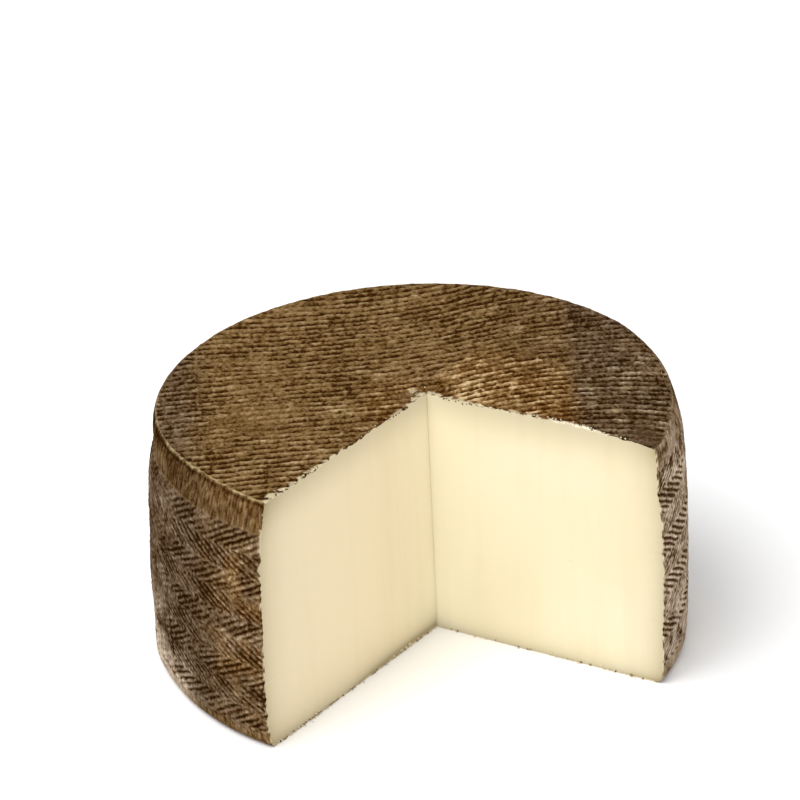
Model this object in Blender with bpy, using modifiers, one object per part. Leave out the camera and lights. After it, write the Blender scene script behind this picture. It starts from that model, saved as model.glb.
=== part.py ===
"""A wheel of iberico cheese with a little over a quarter cut out of it.

The wheel stands on its base with its axis on Z. Its side carries the plaited band of the mould as a
herringbone of short grooves, its two ends carry the ribs of the pressing boards, and the cut leaves
two flat faces of paste that meet in a corner near the axis. Metres, +Z up.
"""

import math

import bmesh
import bpy
from mathutils import Matrix, Vector

MM = 0.001

# The wheel
RADIUS = 100.0 * MM                # widest, at half height
HEIGHT = 99.4 * MM                 # crests of the top ribs above the base
BULGE_HEIGHT = 50.0 * MM           # height of the widest ring
TOP_INSET = 6.0 * MM               # how far the top edge stands inside the widest ring
TOP_INSET_POWER = 2.8              # the side bends in mostly near the top edge
BASE_INSET = 1.5 * MM              # the same at the foot of the side, before the bottom rounding
FOOT_HEIGHT = 4.0 * MM             # the bottom edge is rounded below this
FOOT_INSET = 3.5 * MM              # how far the rounding comes in at the floor
OVERRUN = 6.0 * MM                 # the turned blank runs this far past both ends before trimming

# The plaited band round the side
ROWS = 9                           # rows of the herringbone, one above the other
STROKES = 136                      # grooves in each row, in a full turn
BAND_TOP = 87.7 * MM               # the smooth shoulder is above this
STROKE_SLOPE = math.radians(29.0)  # a groove's rise from the horizontal
STROKE_DEPTH = 0.6 * MM            # groove to crest

# The ribs of the two ends
RIB_PITCH = 3.9 * MM
TOP_RIB_DEPTH = 0.7 * MM
BASE_GROOVE_DEPTH = 0.4 * MM
BASE_GROOVE_SHARE = 0.4            # of the pitch; the rest is flat and carries the wheel
RIB_HEADING = math.radians(34.3)   # the ribs' general direction, from +X towards +Y
RIB_STEPS = 12                     # straight pieces along one rib
RIB_SWEEP = 15.0 * MM              # the ribs sweep sideways by this as they cross the wheel
SWEEP_PLACE = 22.0 * MM            # where along the ribs they sweep, from the axis
SWEEP_LENGTH = 26.0 * MM           # the distance that the sweep is spread over

# The worn stretch of the top edge
WORN_HEADING = math.radians(8.0)
WORN_SPREAD = math.radians(24.0)
WORN_WIDTH = 14.0 * MM
WORN_DROP = 2.2 * MM

# The cut
CUT_CORNER = Vector((1.8 * MM, 5.4 * MM))
CUT_HEADINGS = (math.radians(-92.3), math.radians(2.7))
CUT_REACH = 180.0 * MM

RIND_COLOUR = (0.162, 0.098, 0.052, 1.0)
PASTE_COLOUR = (0.871, 0.752, 0.521, 1.0)


def clear_scene():
    """Removes every object of the open scene."""
    for item in list(bpy.data.objects):
        bpy.data.objects.remove(item, do_unlink=True)


def make_collection(name):
    """Returns a new collection under the scene's own."""
    group = bpy.data.collections.new(name)
    bpy.context.scene.collection.children.link(group)
    return group


def make_material(name, colour, roughness):
    """Returns a plain Principled material."""
    material = bpy.data.materials.new(name)
    material.use_nodes = True
    shader = material.node_tree.nodes["Principled BSDF"]
    shader.inputs["Base Color"].default_value = colour
    shader.inputs["Roughness"].default_value = roughness
    shader.inputs["Metallic"].default_value = 0.0
    material.diffuse_color = colour
    return material


def make_object(name, mesh, group, materials, slot=0):
    """Links a mesh object to a collection and gives all its faces one of the material slots."""
    item = bpy.data.objects.new(name, mesh)
    group.objects.link(item)
    mesh.materials.clear()
    for material in materials:
        mesh.materials.append(material)
    for face in mesh.polygons:
        face.material_index = slot
    return item


def side_radius(z):
    """The side's radius at a height, with neither relief nor bottom rounding."""
    if z > BULGE_HEIGHT:
        share = (z - BULGE_HEIGHT) / (HEIGHT - BULGE_HEIGHT)
        return RADIUS - TOP_INSET * share ** TOP_INSET_POWER
    share = (BULGE_HEIGHT - z) / BULGE_HEIGHT
    return RADIUS - BASE_INSET * share ** 2


def row_height():
    """The height of one row of the herringbone."""
    return (BAND_TOP - FOOT_HEIGHT) / ROWS


def side_profile():
    """The blank's outline as (radius, height), down its outer side from the axis to the axis."""
    mid_shoulder = (BAND_TOP + HEIGHT) / 2
    top_radius = side_radius(HEIGHT)
    lean = (side_radius(mid_shoulder) - top_radius) / (HEIGHT - mid_shoulder)
    points = [(0.0, HEIGHT + OVERRUN), (top_radius - lean * OVERRUN, HEIGHT + OVERRUN)]
    points.append((side_radius(mid_shoulder), mid_shoulder))
    for row in range(ROWS + 1):
        z = BAND_TOP - row * row_height()
        points.append((side_radius(z), z))
    foot_radius = side_radius(FOOT_HEIGHT)
    points.append((foot_radius - 0.25 * FOOT_INSET, 0.35 * FOOT_HEIGHT))
    points.append((foot_radius - FOOT_INSET - OVERRUN, -OVERRUN))
    points.append((0.0, -OVERRUN))
    return points


def turn_profile(points, steps):
    """Returns the mesh of a profile turned once round Z by a Screw modifier."""
    mesh = bpy.data.meshes.new("blank_profile")
    edges = [(i, i + 1) for i in range(len(points) - 1)]
    mesh.from_pydata([(radius, 0.0, z) for radius, z in points], edges, [])
    blank = bpy.data.objects.new("blank", mesh)
    bpy.context.scene.collection.objects.link(blank)
    screw = blank.modifiers.new("turn", "SCREW")
    screw.steps = steps
    screw.render_steps = steps
    screw.use_merge_vertices = True
    screw.merge_threshold = 0.00001
    depsgraph = bpy.context.evaluated_depsgraph_get()
    turned = bpy.data.meshes.new_from_object(blank.evaluated_get(depsgraph))
    bpy.data.objects.remove(blank, do_unlink=True)
    return turned


def press_plait(mesh):
    """Presses the herringbone into the turned side.

    Columns of the mesh are crests and grooves in turn. Each second ring of the band is turned by
    one stroke's run, so that the grooves rise to the right in one row and to the left in the next.
    What is below the band turns with its last ring.
    """
    column = math.pi / STROKES
    run = row_height() / math.tan(STROKE_SLOPE) / RADIUS
    for vertex in mesh.vertices:
        place = vertex.co
        radius = math.hypot(place.x, place.y)
        row = round((BAND_TOP - place.z) / row_height(), 3)
        if radius < RADIUS / 2 or row < 0:
            continue
        angle = math.atan2(place.y, place.x)
        if row <= ROWS and round(angle / column) % 2:
            radius -= STROKE_DEPTH if 0 < row < ROWS else STROKE_DEPTH / 2
        angle -= run * (int(min(row, ROWS)) % 2)
        place.x = radius * math.cos(angle)
        place.y = radius * math.sin(angle)


def rib_sweep(along):
    """How far a rib has moved sideways at a distance along it."""
    return RIB_SWEEP / 2 * math.tanh((along - SWEEP_PLACE) / SWEEP_LENGTH)


def edge_wear(x, y):
    """How far the top is worn down at a place, which is only near one stretch of its edge."""
    inward = (RADIUS - TOP_INSET - math.hypot(x, y)) / WORN_WIDTH
    near_edge = min(max(1.0 - inward, 0.0), 1.0)
    turn = (math.atan2(y, x) - WORN_HEADING) / WORN_SPREAD
    return WORN_DROP * near_edge ** 2 * math.exp(-turn * turn)


def ribbed_block(name, across, height_at, thickness):
    """Returns the mesh of a block with one ribbed face, which a rib runs along.

    across holds, for one rib after another, the sideways places of the lines that bound its flanks
    and whether each line is raised. height_at gives a place's height, and thickness is how far the
    block stands off from that face, upwards or downwards.
    """
    half = RADIUS * 1.12
    turn = Matrix.Rotation(RIB_HEADING, 2)
    mesh = bpy.data.meshes.new(name)
    body = bmesh.new()
    bmesh.ops.create_grid(body, x_segments=RIB_STEPS, y_segments=len(across) - 1, size=1.0)
    for vertex in body.verts:
        along = vertex.co.x * half
        line = round((vertex.co.y + 1.0) / 2 * (len(across) - 1))
        sideways, raised = across[line]
        flat = turn @ Vector((along, sideways + rib_sweep(along)))
        vertex.co = (flat.x, flat.y, height_at(flat.x, flat.y, raised))
    sheet = list(body.faces)
    grown = bmesh.ops.extrude_face_region(body, geom=sheet)["geom"]
    for item in grown:
        if isinstance(item, bmesh.types.BMVert):
            item.co.z = thickness
    bmesh.ops.recalc_face_normals(body, faces=body.faces)
    body.to_mesh(mesh)
    body.free()
    return mesh


def top_lines():
    """The lines across the top: crest, groove, crest, groove."""
    count = round(2.3 * RADIUS / RIB_PITCH)
    return [((i - count) * RIB_PITCH / 2, i % 2 == 0) for i in range(2 * count + 1)]


def base_lines():
    """The lines across the base: the two edges of a groove and its bottom, then the next groove."""
    count = round(1.15 * RADIUS / RIB_PITCH)
    half = RIB_PITCH * BASE_GROOVE_SHARE / 2
    lines = []
    for rib in range(-count, count):
        middle = (rib + 0.5) * RIB_PITCH
        lines += [(middle - half, False), (middle, True), (middle + half, False)]
    return lines


def top_height(x, y, raised):
    """The top's height at a place on a crest or in a groove."""
    return HEIGHT - (0.0 if raised else TOP_RIB_DEPTH) - edge_wear(x, y)


def base_height(x, y, raised):
    """The base's height at a place on the flat or at the bottom of a groove."""
    return BASE_GROOVE_DEPTH if raised else 0.0


def cut_block():
    """The mesh of the wedge that the cut takes out, from below the base to above the top."""
    spread = [Vector((math.cos(turn), math.sin(turn))) * CUT_REACH for turn in CUT_HEADINGS]
    outline = {
        (-1, 1): CUT_CORNER,
        (-1, -1): CUT_CORNER + spread[0],
        (1, -1): CUT_CORNER + spread[0] + spread[1],
        (1, 1): CUT_CORNER + spread[1],
    }
    mesh = bpy.data.meshes.new("cut_out")
    body = bmesh.new()
    bmesh.ops.create_cube(body, size=2.0)
    for vertex in body.verts:
        flat = outline[(round(vertex.co.x), round(vertex.co.y))]
        z = HEIGHT + 2 * OVERRUN if vertex.co.z > 0 else -2 * OVERRUN
        vertex.co = (flat.x, flat.y, z)
    bmesh.ops.recalc_face_normals(body, faces=body.faces)
    body.to_mesh(mesh)
    body.free()
    return mesh


def cut_away(item, cutter):
    """Takes a cutter's shape out of an object."""
    cutter.hide_render = True
    cutter.display_type = "WIRE"
    cut = item.modifiers.new(cutter.name, "BOOLEAN")
    cut.operation = "DIFFERENCE"
    cut.solver = "EXACT"
    cut.object = cutter


def build_cheese():
    """Builds the wheel, trims its ends to their ribs and cuts the wedge out."""
    clear_scene()
    parts = make_collection("iberico_cheese")
    cutters = make_collection("cutters")
    rind = make_material("rind", RIND_COLOUR, 0.62)
    paste = make_material("paste", PASTE_COLOUR, 0.55)
    materials = (rind, paste)

    blank = turn_profile(side_profile(), 2 * STROKES)
    press_plait(blank)
    blank.name = "cheese"
    cheese = make_object("cheese", blank, parts, materials)

    above = HEIGHT + 2 * OVERRUN
    top = ribbed_block("top_ribs", top_lines(), top_height, above)
    base = ribbed_block("base_ribs", base_lines(), base_height, -2 * OVERRUN)
    wedge = cut_block()
    cut_away(cheese, make_object("top_trim", top, cutters, materials))
    cut_away(cheese, make_object("base_trim", base, cutters, materials))
    cut_away(cheese, make_object("wedge_cut", wedge, cutters, materials, slot=1))


build_cheese()
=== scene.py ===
"""Dresses the cut wheel of iberico cheese.

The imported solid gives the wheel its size. This script makes what shows on it: the ribbed rind of the
two ends, the plaited rind of the side, the paste that the knife laid bare, and the crumbs along the
cut. Shapes are worked out in millimetres and put into their meshes in metres, in the frame's axes.
"""

from __future__ import annotations

import itertools
import logging
import math
from dataclasses import dataclass
from enum import Enum

import bpy
import numpy as np
from mathutils import Matrix, Vector

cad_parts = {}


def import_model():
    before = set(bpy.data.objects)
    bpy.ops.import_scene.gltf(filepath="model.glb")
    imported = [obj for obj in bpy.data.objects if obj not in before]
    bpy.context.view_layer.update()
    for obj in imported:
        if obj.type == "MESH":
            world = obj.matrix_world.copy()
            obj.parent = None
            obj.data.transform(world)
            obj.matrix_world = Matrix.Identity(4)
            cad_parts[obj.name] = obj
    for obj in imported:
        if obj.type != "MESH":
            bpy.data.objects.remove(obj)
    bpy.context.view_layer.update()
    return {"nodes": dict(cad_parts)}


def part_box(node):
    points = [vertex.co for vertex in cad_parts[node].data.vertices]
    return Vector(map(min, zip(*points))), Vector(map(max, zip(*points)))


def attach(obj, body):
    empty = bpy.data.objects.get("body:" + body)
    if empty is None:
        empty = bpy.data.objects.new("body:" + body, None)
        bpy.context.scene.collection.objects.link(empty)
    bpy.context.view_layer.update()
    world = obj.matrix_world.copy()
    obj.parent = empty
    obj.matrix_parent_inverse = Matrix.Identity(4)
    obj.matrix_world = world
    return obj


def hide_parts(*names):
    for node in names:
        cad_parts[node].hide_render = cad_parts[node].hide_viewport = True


Array = np.ndarray
Colour = tuple[float, float, float]
Stop = tuple[float, Colour]  # a place on a ramp, and its colour
Span = tuple[float, float]  # where a smooth step starts, and where it ends
Pair = tuple[float, float]  # a value on the right cut face, and on the left one
Box = tuple[float, float, float, float]  # left, bottom, width and height in a bake map
MM = 0.001
DEGREE = math.pi / 180
BODY = "root"
NODE = "cheese"
BAKE_MAP = "OFBake"
FLAP = 0.012  # width of a wall's strip in a bake map
MIX_FIRST, MIX_SECOND, MIX_RESULT = 6, 7, 2  # colour sockets of a Mix node
log = logging.getLogger("iberico")


class Slot(Enum):
    """The record's material slots."""

    RIND = "rind"
    PASTE = "paste"


class End(Enum):
    """The two flat ends of the wheel, as the direction that each faces along Z."""

    TOP = 1
    BASE = -1


class Face(Enum):
    """The two cut faces, as they are seen from the open sector."""

    RIGHT = "right"
    LEFT = "left"


# ---- Repeatable noise and soft shapes --------------------------------------


def hash_unit(first: Array, second: Array, seed: int) -> Array:
    """Draws a repeatable number for each pair of whole numbers.

    The pair and the seed are multiplied by large odd numbers and mixed by shifts, as 32-bit words.

    Args:
        first: the first whole number of each pair.
        second: the second whole number of each pair.
        seed: picks another set of draws.

    Returns:
        Numbers from 0 to 1, in the shape of the pairs.
    """
    left = np.asarray(first, dtype=np.int64) * 374761393
    right = np.asarray(second, dtype=np.int64) * 668265263
    word = ((left + right + seed * 2246822519) & 0xFFFFFFFF).astype(np.uint32)
    word = (word ^ (word >> np.uint32(15))) * np.uint32(2246822519)
    word = (word ^ (word >> np.uint32(13))) * np.uint32(3266489917)
    return (word ^ (word >> np.uint32(16))) / float(2**32)


def smooth_noise(x: Array, y: Array, seed: int) -> Array:
    """Smooth noise with one bump to a unit of x and y.

    A draw at each corner of the unit square round a point is blended by the fade t*t*t*(6t*t-15t+10).

    Args:
        x: first coordinate, in bumps.
        y: second coordinate, in bumps.
        seed: picks another pattern.

    Returns:
        Numbers from -1 to 1.
    """
    x, y = np.broadcast_arrays(np.asarray(x, float), np.asarray(y, float))
    column, row = np.floor(x), np.floor(y)
    along, up = x - column, y - row
    along = along**3 * (along * (along * 6 - 15) + 10)
    up = up**3 * (up * (up * 6 - 15) + 10)
    right, above = column + 1, row + 1
    lower = hash_unit(column, row, seed) * (1 - along) + hash_unit(right, row, seed) * along
    upper = hash_unit(column, above, seed) * (1 - along) + hash_unit(right, above, seed) * along
    return 2 * (lower * (1 - up) + upper * up) - 1


def ease(low: float, high: float, value: Array) -> Array:
    """The smooth step from 0 at low to 1 at high, also where low is the larger."""
    share = np.clip((value - low) / (high - low), 0.0, 1.0)
    return share * share * (3 - 2 * share)


def bell(value: Array, spread: float) -> Array:
    """The bell curve exp(-(value / spread)^2)."""
    return np.exp(-((value / spread) ** 2))


def held(lane: Array, row: Array, seed: int, seam: float = 0.16) -> Array:
    """A draw for each unit of lane and each row, held over the unit and blended in the seam at its end.

    Args:
        lane: distance, in units.
        row: whole number of the row.
        seed: picks another set of draws.
        seam: share of the unit in which a draw gives way to the next one.

    Returns:
        Numbers from 0 to 1.
    """
    column = np.floor(lane)
    share = ease(1 - seam, 1.0, lane - column)
    return hash_unit(column, row, seed) * (1 - share) + hash_unit(column + 1, row, seed) * share


@dataclass(frozen=True)
class Noise:
    """A pattern of bumps: its strength, how wide and how tall a bump is, its seed and its octaves."""

    strength: float
    wide: float
    tall: float
    seed: int
    octaves: int = 1

    def at(self, x: Array, y: Array, seed: int = 0) -> Array:
        """The pattern's value at places: octaves summed, each half as wide and as strong as the last.

        Args:
            x, y: the places.
            seed: is added to the pattern's own.

        Returns:
            Numbers from minus the strength to the strength.
        """
        x, y = x / self.wide, y / self.tall
        total, weight = 0.0, 0.0
        for octave in range(self.octaves):
            share = 0.5**octave
            own = seed + self.seed + 31 * octave
            total = total + share * smooth_noise(x * 2**octave, y * 2**octave, own)
            weight += share
        return self.strength * (total / weight)


@dataclass(frozen=True)
class Arc:
    """A stretch round the axis: the heading of its middle and its spread, in radians."""

    heading: float
    spread: float

    def at(self, turn: Array) -> Array:
        """How much of it there is at an angle round the axis, as a bell."""
        return bell(turn - self.heading, self.spread)


@dataclass(frozen=True)
class Patch:
    """A soft patch: its strength, and its middle and spread in two directions."""

    strength: float
    along: float
    long: float
    behind: float
    deep: float

    def at(self, along: Array, behind: Array) -> Array:
        """How much of it there is at places, as a product of two bells."""
        share = self.strength * bell(along - self.along, self.long)
        return share * bell(behind - self.behind, self.deep)


# ---- The wheel's plain form ------------------------------------------------


@dataclass(frozen=True)
class Wheel:
    """The wheel's plain form, before its relief: a barrel with a sector cut out, in millimetres.

    A place on it is given by a share of the turn, 0 at the right cut face and 1 at the left one, seen
    from the corner in which the cut faces meet.
    """

    height: float
    radius: float
    bulge_height: float = 50.0  # of the widest ring
    top_inset: float = 6.0  # how far the top edge stands inside the widest ring
    top_inset_power: float = 2.8
    base_inset: float = 1.5
    foot_height: float = 4.0  # the bottom edge is rounded below this
    foot_inset: float = 3.5
    corner: tuple[float, float] = (1.8, 5.4)
    right_heading: float = 2.7 * DEGREE
    left_heading: float = 267.7 * DEGREE

    lip_round: float = 0.5
    lip_reach: float = 0.65
    lip_wander: float = 0.3
    lip_sunk: float = 0.6
    lip_stray: Noise = Noise(1.0, 6.0, 1.0, 211, 3)
    lip_shiver: Noise = Noise(0.10, 1.6, 1.0, 212)

    worn_drop: float = 2.0  # the top edge is worn down by this
    worn_arc: Arc = Arc(6.0 * DEGREE, 24.0 * DEGREE)
    worn_width: float = 26.0
    worn_power: float = 1.5
    back_raised: float = 1.3  # and stands up by this round the back
    back_start: Span = (48.0 * DEGREE, 68.0 * DEGREE)
    back_end: Span = (220.0 * DEGREE, 188.0 * DEGREE)
    bulge: Patch = Patch(0.65, 46.0, 20.0, 0.0, 28.0)
    dip: Patch = Patch(0.4, 8.0, 12.0, 0.0, 14.0)

    raised: float = 0.55  # the lip beside the left cut face stands up by this
    drawn_in: float = 0.8  # and in by this
    raised_arc: Arc = Arc(250.0 * DEGREE, 11.5 * DEGREE)
    drawn_span: Span = (88.0, 99.0)
    flare: float = 2.6  # the top edge stands out by this beside the right cut face
    flare_arc: Arc = Arc(4.0 * DEGREE, 16.0 * DEGREE)
    flare_span: Span = (80.0, 97.0)
    swell: float = 1.1  # the side swells low beside the left cut face
    swell_height: float = 22.0
    swell_spread: float = 16.0
    swell_turn: Span = (247.0 * DEGREE, 262.0 * DEGREE)
    belly: float = 1.9  # and more so further round
    belly_arc: Arc = Arc(212.0 * DEGREE, 18.0 * DEGREE)
    belly_span: Span = (62.0, 22.0)
    foot_belly: float = 0.8
    foot_span: Span = (14.0, 4.0)
    left_flare: float = 1.3
    left_flare_span: Span = (89.0, 97.0)
    pinch: float = 1.1
    pinch_height: float = 87.0
    pinch_spread: float = 3.2
    slim: float = 0.6  # the right of the side is slimmer by this
    slim_arc: Arc = Arc(31.0 * DEGREE, 18.0 * DEGREE)
    slim_span: Span = (84.0, 66.0)
    slim_foot: Span = (20.0, 34.0)

    @classmethod
    def from_box(cls, low: Vector, high: Vector) -> Wheel:
        """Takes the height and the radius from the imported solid's box, given in metres."""
        return cls(height=(high.z - low.z) / MM, radius=-low.x / MM)

    def side_radius(self, z: Array, turn: Array) -> Array:
        """The side's radius at a height and at an angle round the axis.

        Above the widest ring it shrinks by the inset times the 2.8th power of the share of the way
        up, below it by a square law, and the foot is a quarter of an ellipse. Bells of the angle
        times smooth steps of the height flare the top edge out beside the right cut face, draw it in
        where it is raised, and slim the right of the side. The side swells low beside the left cut
        face. Further round it swells from its middle down to its foot, is pinched under its top
        edge, and flares out at that edge.

        Args:
            z: height above the base.
            turn: angle round the axis.

        Returns:
            The radius.
        """
        up = np.clip((z - self.bulge_height) / (self.height - self.bulge_height), 0.0, 1.0)
        down = np.clip((self.bulge_height - z) / self.bulge_height, 0.0, 1.0)
        foot = np.clip(1 - z / self.foot_height, 0.0, 1.0)
        drop = self.top_inset * up**self.top_inset_power + self.base_inset * down**2
        drop = drop + self.foot_inset * (1 - np.sqrt(1 - foot**2))
        out = self.flare * self.flare_arc.at(turn) * ease(*self.flare_span, z)
        swell = self.swell * bell(z - self.swell_height, self.swell_spread)
        out = out + swell * ease(*self.swell_turn, turn)
        out = out - self.drawn_in * self.raised_arc.at(turn) * ease(*self.drawn_span, z)
        belly = self.belly * ease(*self.belly_span, z) + self.foot_belly * ease(*self.foot_span, z)
        belly = belly + self.left_flare * ease(*self.left_flare_span, z)
        belly = belly - self.pinch * bell(z - self.pinch_height, self.pinch_spread)
        out = out + belly * self.belly_arc.at(turn)
        slim = ease(*self.slim_span, z) * (0.5 + 0.5 * ease(*self.slim_foot, z))
        out = out - self.slim * self.slim_arc.at(turn) * slim
        return self.radius - drop + out

    def heading(self, share: Array) -> Array:
        """The direction from the corner at a share of the turn, in radians from +X."""
        return self.right_heading + (self.left_heading - self.right_heading) * share

    def reach(self, heading: Array, radius: Array) -> Array:
        """How far it is from the corner to a circle round the axis, in a direction.

        It is the larger root of |corner + t * direction| = radius.

        Args:
            heading: the direction.
            radius: the circle's radius.

        Returns:
            The distance.
        """
        x, y = self.corner
        along = x * np.cos(heading) + y * np.sin(heading)
        return -along + np.sqrt(along**2 - (x * x + y * y) + radius**2)

    def plan(self, share: Array, radius: Array, part: Array | float = 1.0) -> tuple[Array, Array]:
        """The place at a part of the way from the corner to a circle round the axis.

        Args:
            share: share of the turn.
            radius: the circle's radius.
            part: 0 at the corner and 1 on the circle.

        Returns:
            x and y.
        """
        heading = self.heading(share)
        distance = self.reach(heading, radius) * part
        x, y = self.corner
        return x + distance * np.cos(heading), y + distance * np.sin(heading)

    def turn(self, x: Array, y: Array) -> Array:
        """The angle round the axis, from -45 to 315 degrees, so that it doesn't jump on the rind."""
        return np.mod(np.arctan2(y, x) + math.pi / 4, 2 * math.pi) - math.pi / 4

    def worn(self, turn: Array) -> Array:
        """How far the top edge is worn down at an angle, negative round the back where it stands up."""
        back = ease(*self.back_start, turn) * ease(*self.back_end, turn)
        return self.worn_drop * self.worn_arc.at(turn) - self.back_raised * back

    def wander(self, turn: Array) -> Array:
        """How far the top edge strays up and down.

        Two noises along the edge are summed, and a bell of the angle raises a stretch of it.

        Args:
            turn: angle round the axis.

        Returns:
            The height over the plain edge.
        """
        around = turn * self.radius
        stray = self.lip_wander * (self.lip_stray.at(around, 0.5) - self.lip_sunk)
        return stray + self.lip_shiver.at(around, 0.5) + self.raised * self.raised_arc.at(turn)

    def rim_height(self, turn: Array) -> Array:
        """The height of the rounded top edge."""
        return self.height - self.worn(turn) - self.lip_round + self.wander(turn)

    def rim_radius(self, turn: Array) -> Array:
        """The radius of the rounded top edge."""
        return self.side_radius(self.rim_height(turn), turn) - self.lip_round

    def end_radius(self, end: End, turn: Array) -> Array:
        """The radius at which an end meets the side, at an angle round the axis."""
        return self.rim_radius(turn) if end is End.TOP else self.side_radius(np.float64(0.0), turn)

    def crown(self, x: Array, y: Array) -> Array:
        """How far the top face stands above its plain height, before its relief.

        Where the edge is worn down the face falls by the power 1.5 of the rest of the way to the
        edge. Behind the right cut face it bulges by one product of bells and dips by another.

        Args:
            x, y: the places.

        Returns:
            The height over the plain top, mostly negative.
        """
        turn = self.turn(x, y)
        inward = self.rim_radius(turn) - np.hypot(x, y)
        near_edge = np.clip(1 - inward / self.worn_width, 0.0, 1.0)
        face = self.from_cut(x, y, Face.RIGHT)
        bulge = self.bulge.at(*face) - self.dip.at(*face)
        return bulge - self.worn(turn) * near_edge**self.worn_power

    def rim_turn(self, share: Array) -> Array:
        """The angle round the axis of the top edge, at a share of the cut's turn."""
        return self.turn(*self.plan(share, np.float64(self.radius - self.top_inset)))

    def cut_frame(self, face: Face) -> tuple[Vector, Vector]:
        """The directions of a cut face.

        Args:
            face: which cut face.

        Returns:
            The direction along it from the corner, and the one out of it into the open sector.
        """
        heading = self.right_heading if face is Face.RIGHT else self.left_heading
        along = Vector((math.cos(heading), math.sin(heading)))
        middle = (self.right_heading + self.left_heading) / 2 + math.pi
        out = Vector((-along.y, along.x))
        return along, out if out.dot(Vector((math.cos(middle), math.sin(middle)))) > 0 else -out

    def from_cut(self, x: Array, y: Array, face: Face) -> tuple[Array, Array]:
        """Measures places from one cut face.

        Args:
            x, y: the places.
            face: which cut face.

        Returns:
            The distance along the face from the corner, and the depth behind the face.
        """
        along, out = self.cut_frame(face)
        right, back = x - self.corner[0], y - self.corner[1]
        return right * along.x + back * along.y, -(right * out.x + back * out.y)

    def from_knife(self, x: Array, y: Array) -> Array:
        """The distance from the nearer cut face, or from the corner where that is nearer still.

        Args:
            x, y: the places.

        Returns:
            The distance.
        """
        gaps = []
        for face in Face:
            along, behind = self.from_cut(x, y, face)
            gaps.append(np.where(along > 0, np.abs(behind), np.hypot(along, behind)))
        return np.minimum(*gaps)


# ---- What the mould, the hands and the knife did to the rind ---------------


@dataclass
class Relief:
    """What shows at many places of the rind: a height in millimetres, and masks from 0 to 1.

    tone runs from a groove's dark to a crest's light. ash, warm and the pale mask name the zone's
    browns; the pale mask is real dust at the foot of the side and painted light on its right. wear
    is rubbed rind, torn is bare paste, chalk its whiter kind, and streak is upright grain.
    """

    rise: Array
    tone: Array
    wear: Array
    warm: Array
    ash: Array
    dust_and_painted_light: Array
    torn: Array
    chalk: Array
    streak: Array

    def masks(self) -> dict[str, Array]:
        """The masks by their names, as the finishes read them."""
        names = ("tone", "wear", "warm", "ash", "dust_and_painted_light", "torn", "chalk", "streak")
        return {name: np.clip(getattr(self, name), 0.0, 1.0) for name in names}


@dataclass(frozen=True)
class RubbedLip:
    """The pale rubbed lip of the top edge, beaded along it, and patchy away from the left cut face."""

    wheel: Wheel
    width: Span = (0.60, 0.05)
    strong: float = 0.52
    strong_arc: Arc = Arc(245.0 * DEGREE, 21.0 * DEGREE)
    end: float = 0.45
    end_arc: Arc = Arc(264.0 * DEGREE, 0.10)
    patchy: float = 0.30
    patchy_span: Span = (-0.2, 0.5)
    bead_span: Span = (-0.55, 0.65)
    least_bead: float = 0.05
    ragged: Noise = Noise(0.25, 2.2, 3.0, 91, 3)
    beads: Noise = Noise(1.0, 1.3, 1.0, 92)
    bead_drift: Noise = Noise(0.7, 5.0, 1.0, 94)
    patches: Noise = Noise(1.0, 7.0, 1.0, 93)

    def at(self, turn: Array, inward: Array) -> Array:
        """Works out the mask of wear.

        It is a narrow step of the distance from the edge, times a sum of bells of the angle and of
        patches, times beads.

        Args:
            turn: angle round the axis.
            inward: distance from the top edge over the surface.

        Returns:
            The mask.
        """
        around = turn * self.wheel.radius
        beads = self.beads.at(around, 0.5) + self.bead_drift.at(around, 0.5)
        beads = self.least_bead + (1 - self.least_bead) * ease(*self.bead_span, beads)
        rubbed = self.strong * self.strong_arc.at(turn) + self.end * self.end_arc.at(turn)
        patchy = self.patchy * ease(*self.patchy_span, self.patches.at(around, 2.5))
        worn = self.wheel.worn_arc
        patchy = patchy * (1 - bell(turn - worn.heading, worn.spread / 2))
        narrow = ease(*self.width, np.abs(inward) - self.ragged.at(around, inward))
        return narrow * np.clip(rubbed + patchy, 0, 1) * beads


@dataclass
class TopPlace:
    """Places on the top rind, as its wear reads them.

    along and rib are measured on the board's ribs, inward from the top edge, and the others along
    each cut face from the corner and behind it.
    """

    x: Array
    y: Array
    along: Array
    rib: Array
    inward: Array
    right: Array
    behind_right: Array
    left: Array
    behind_left: Array


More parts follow.
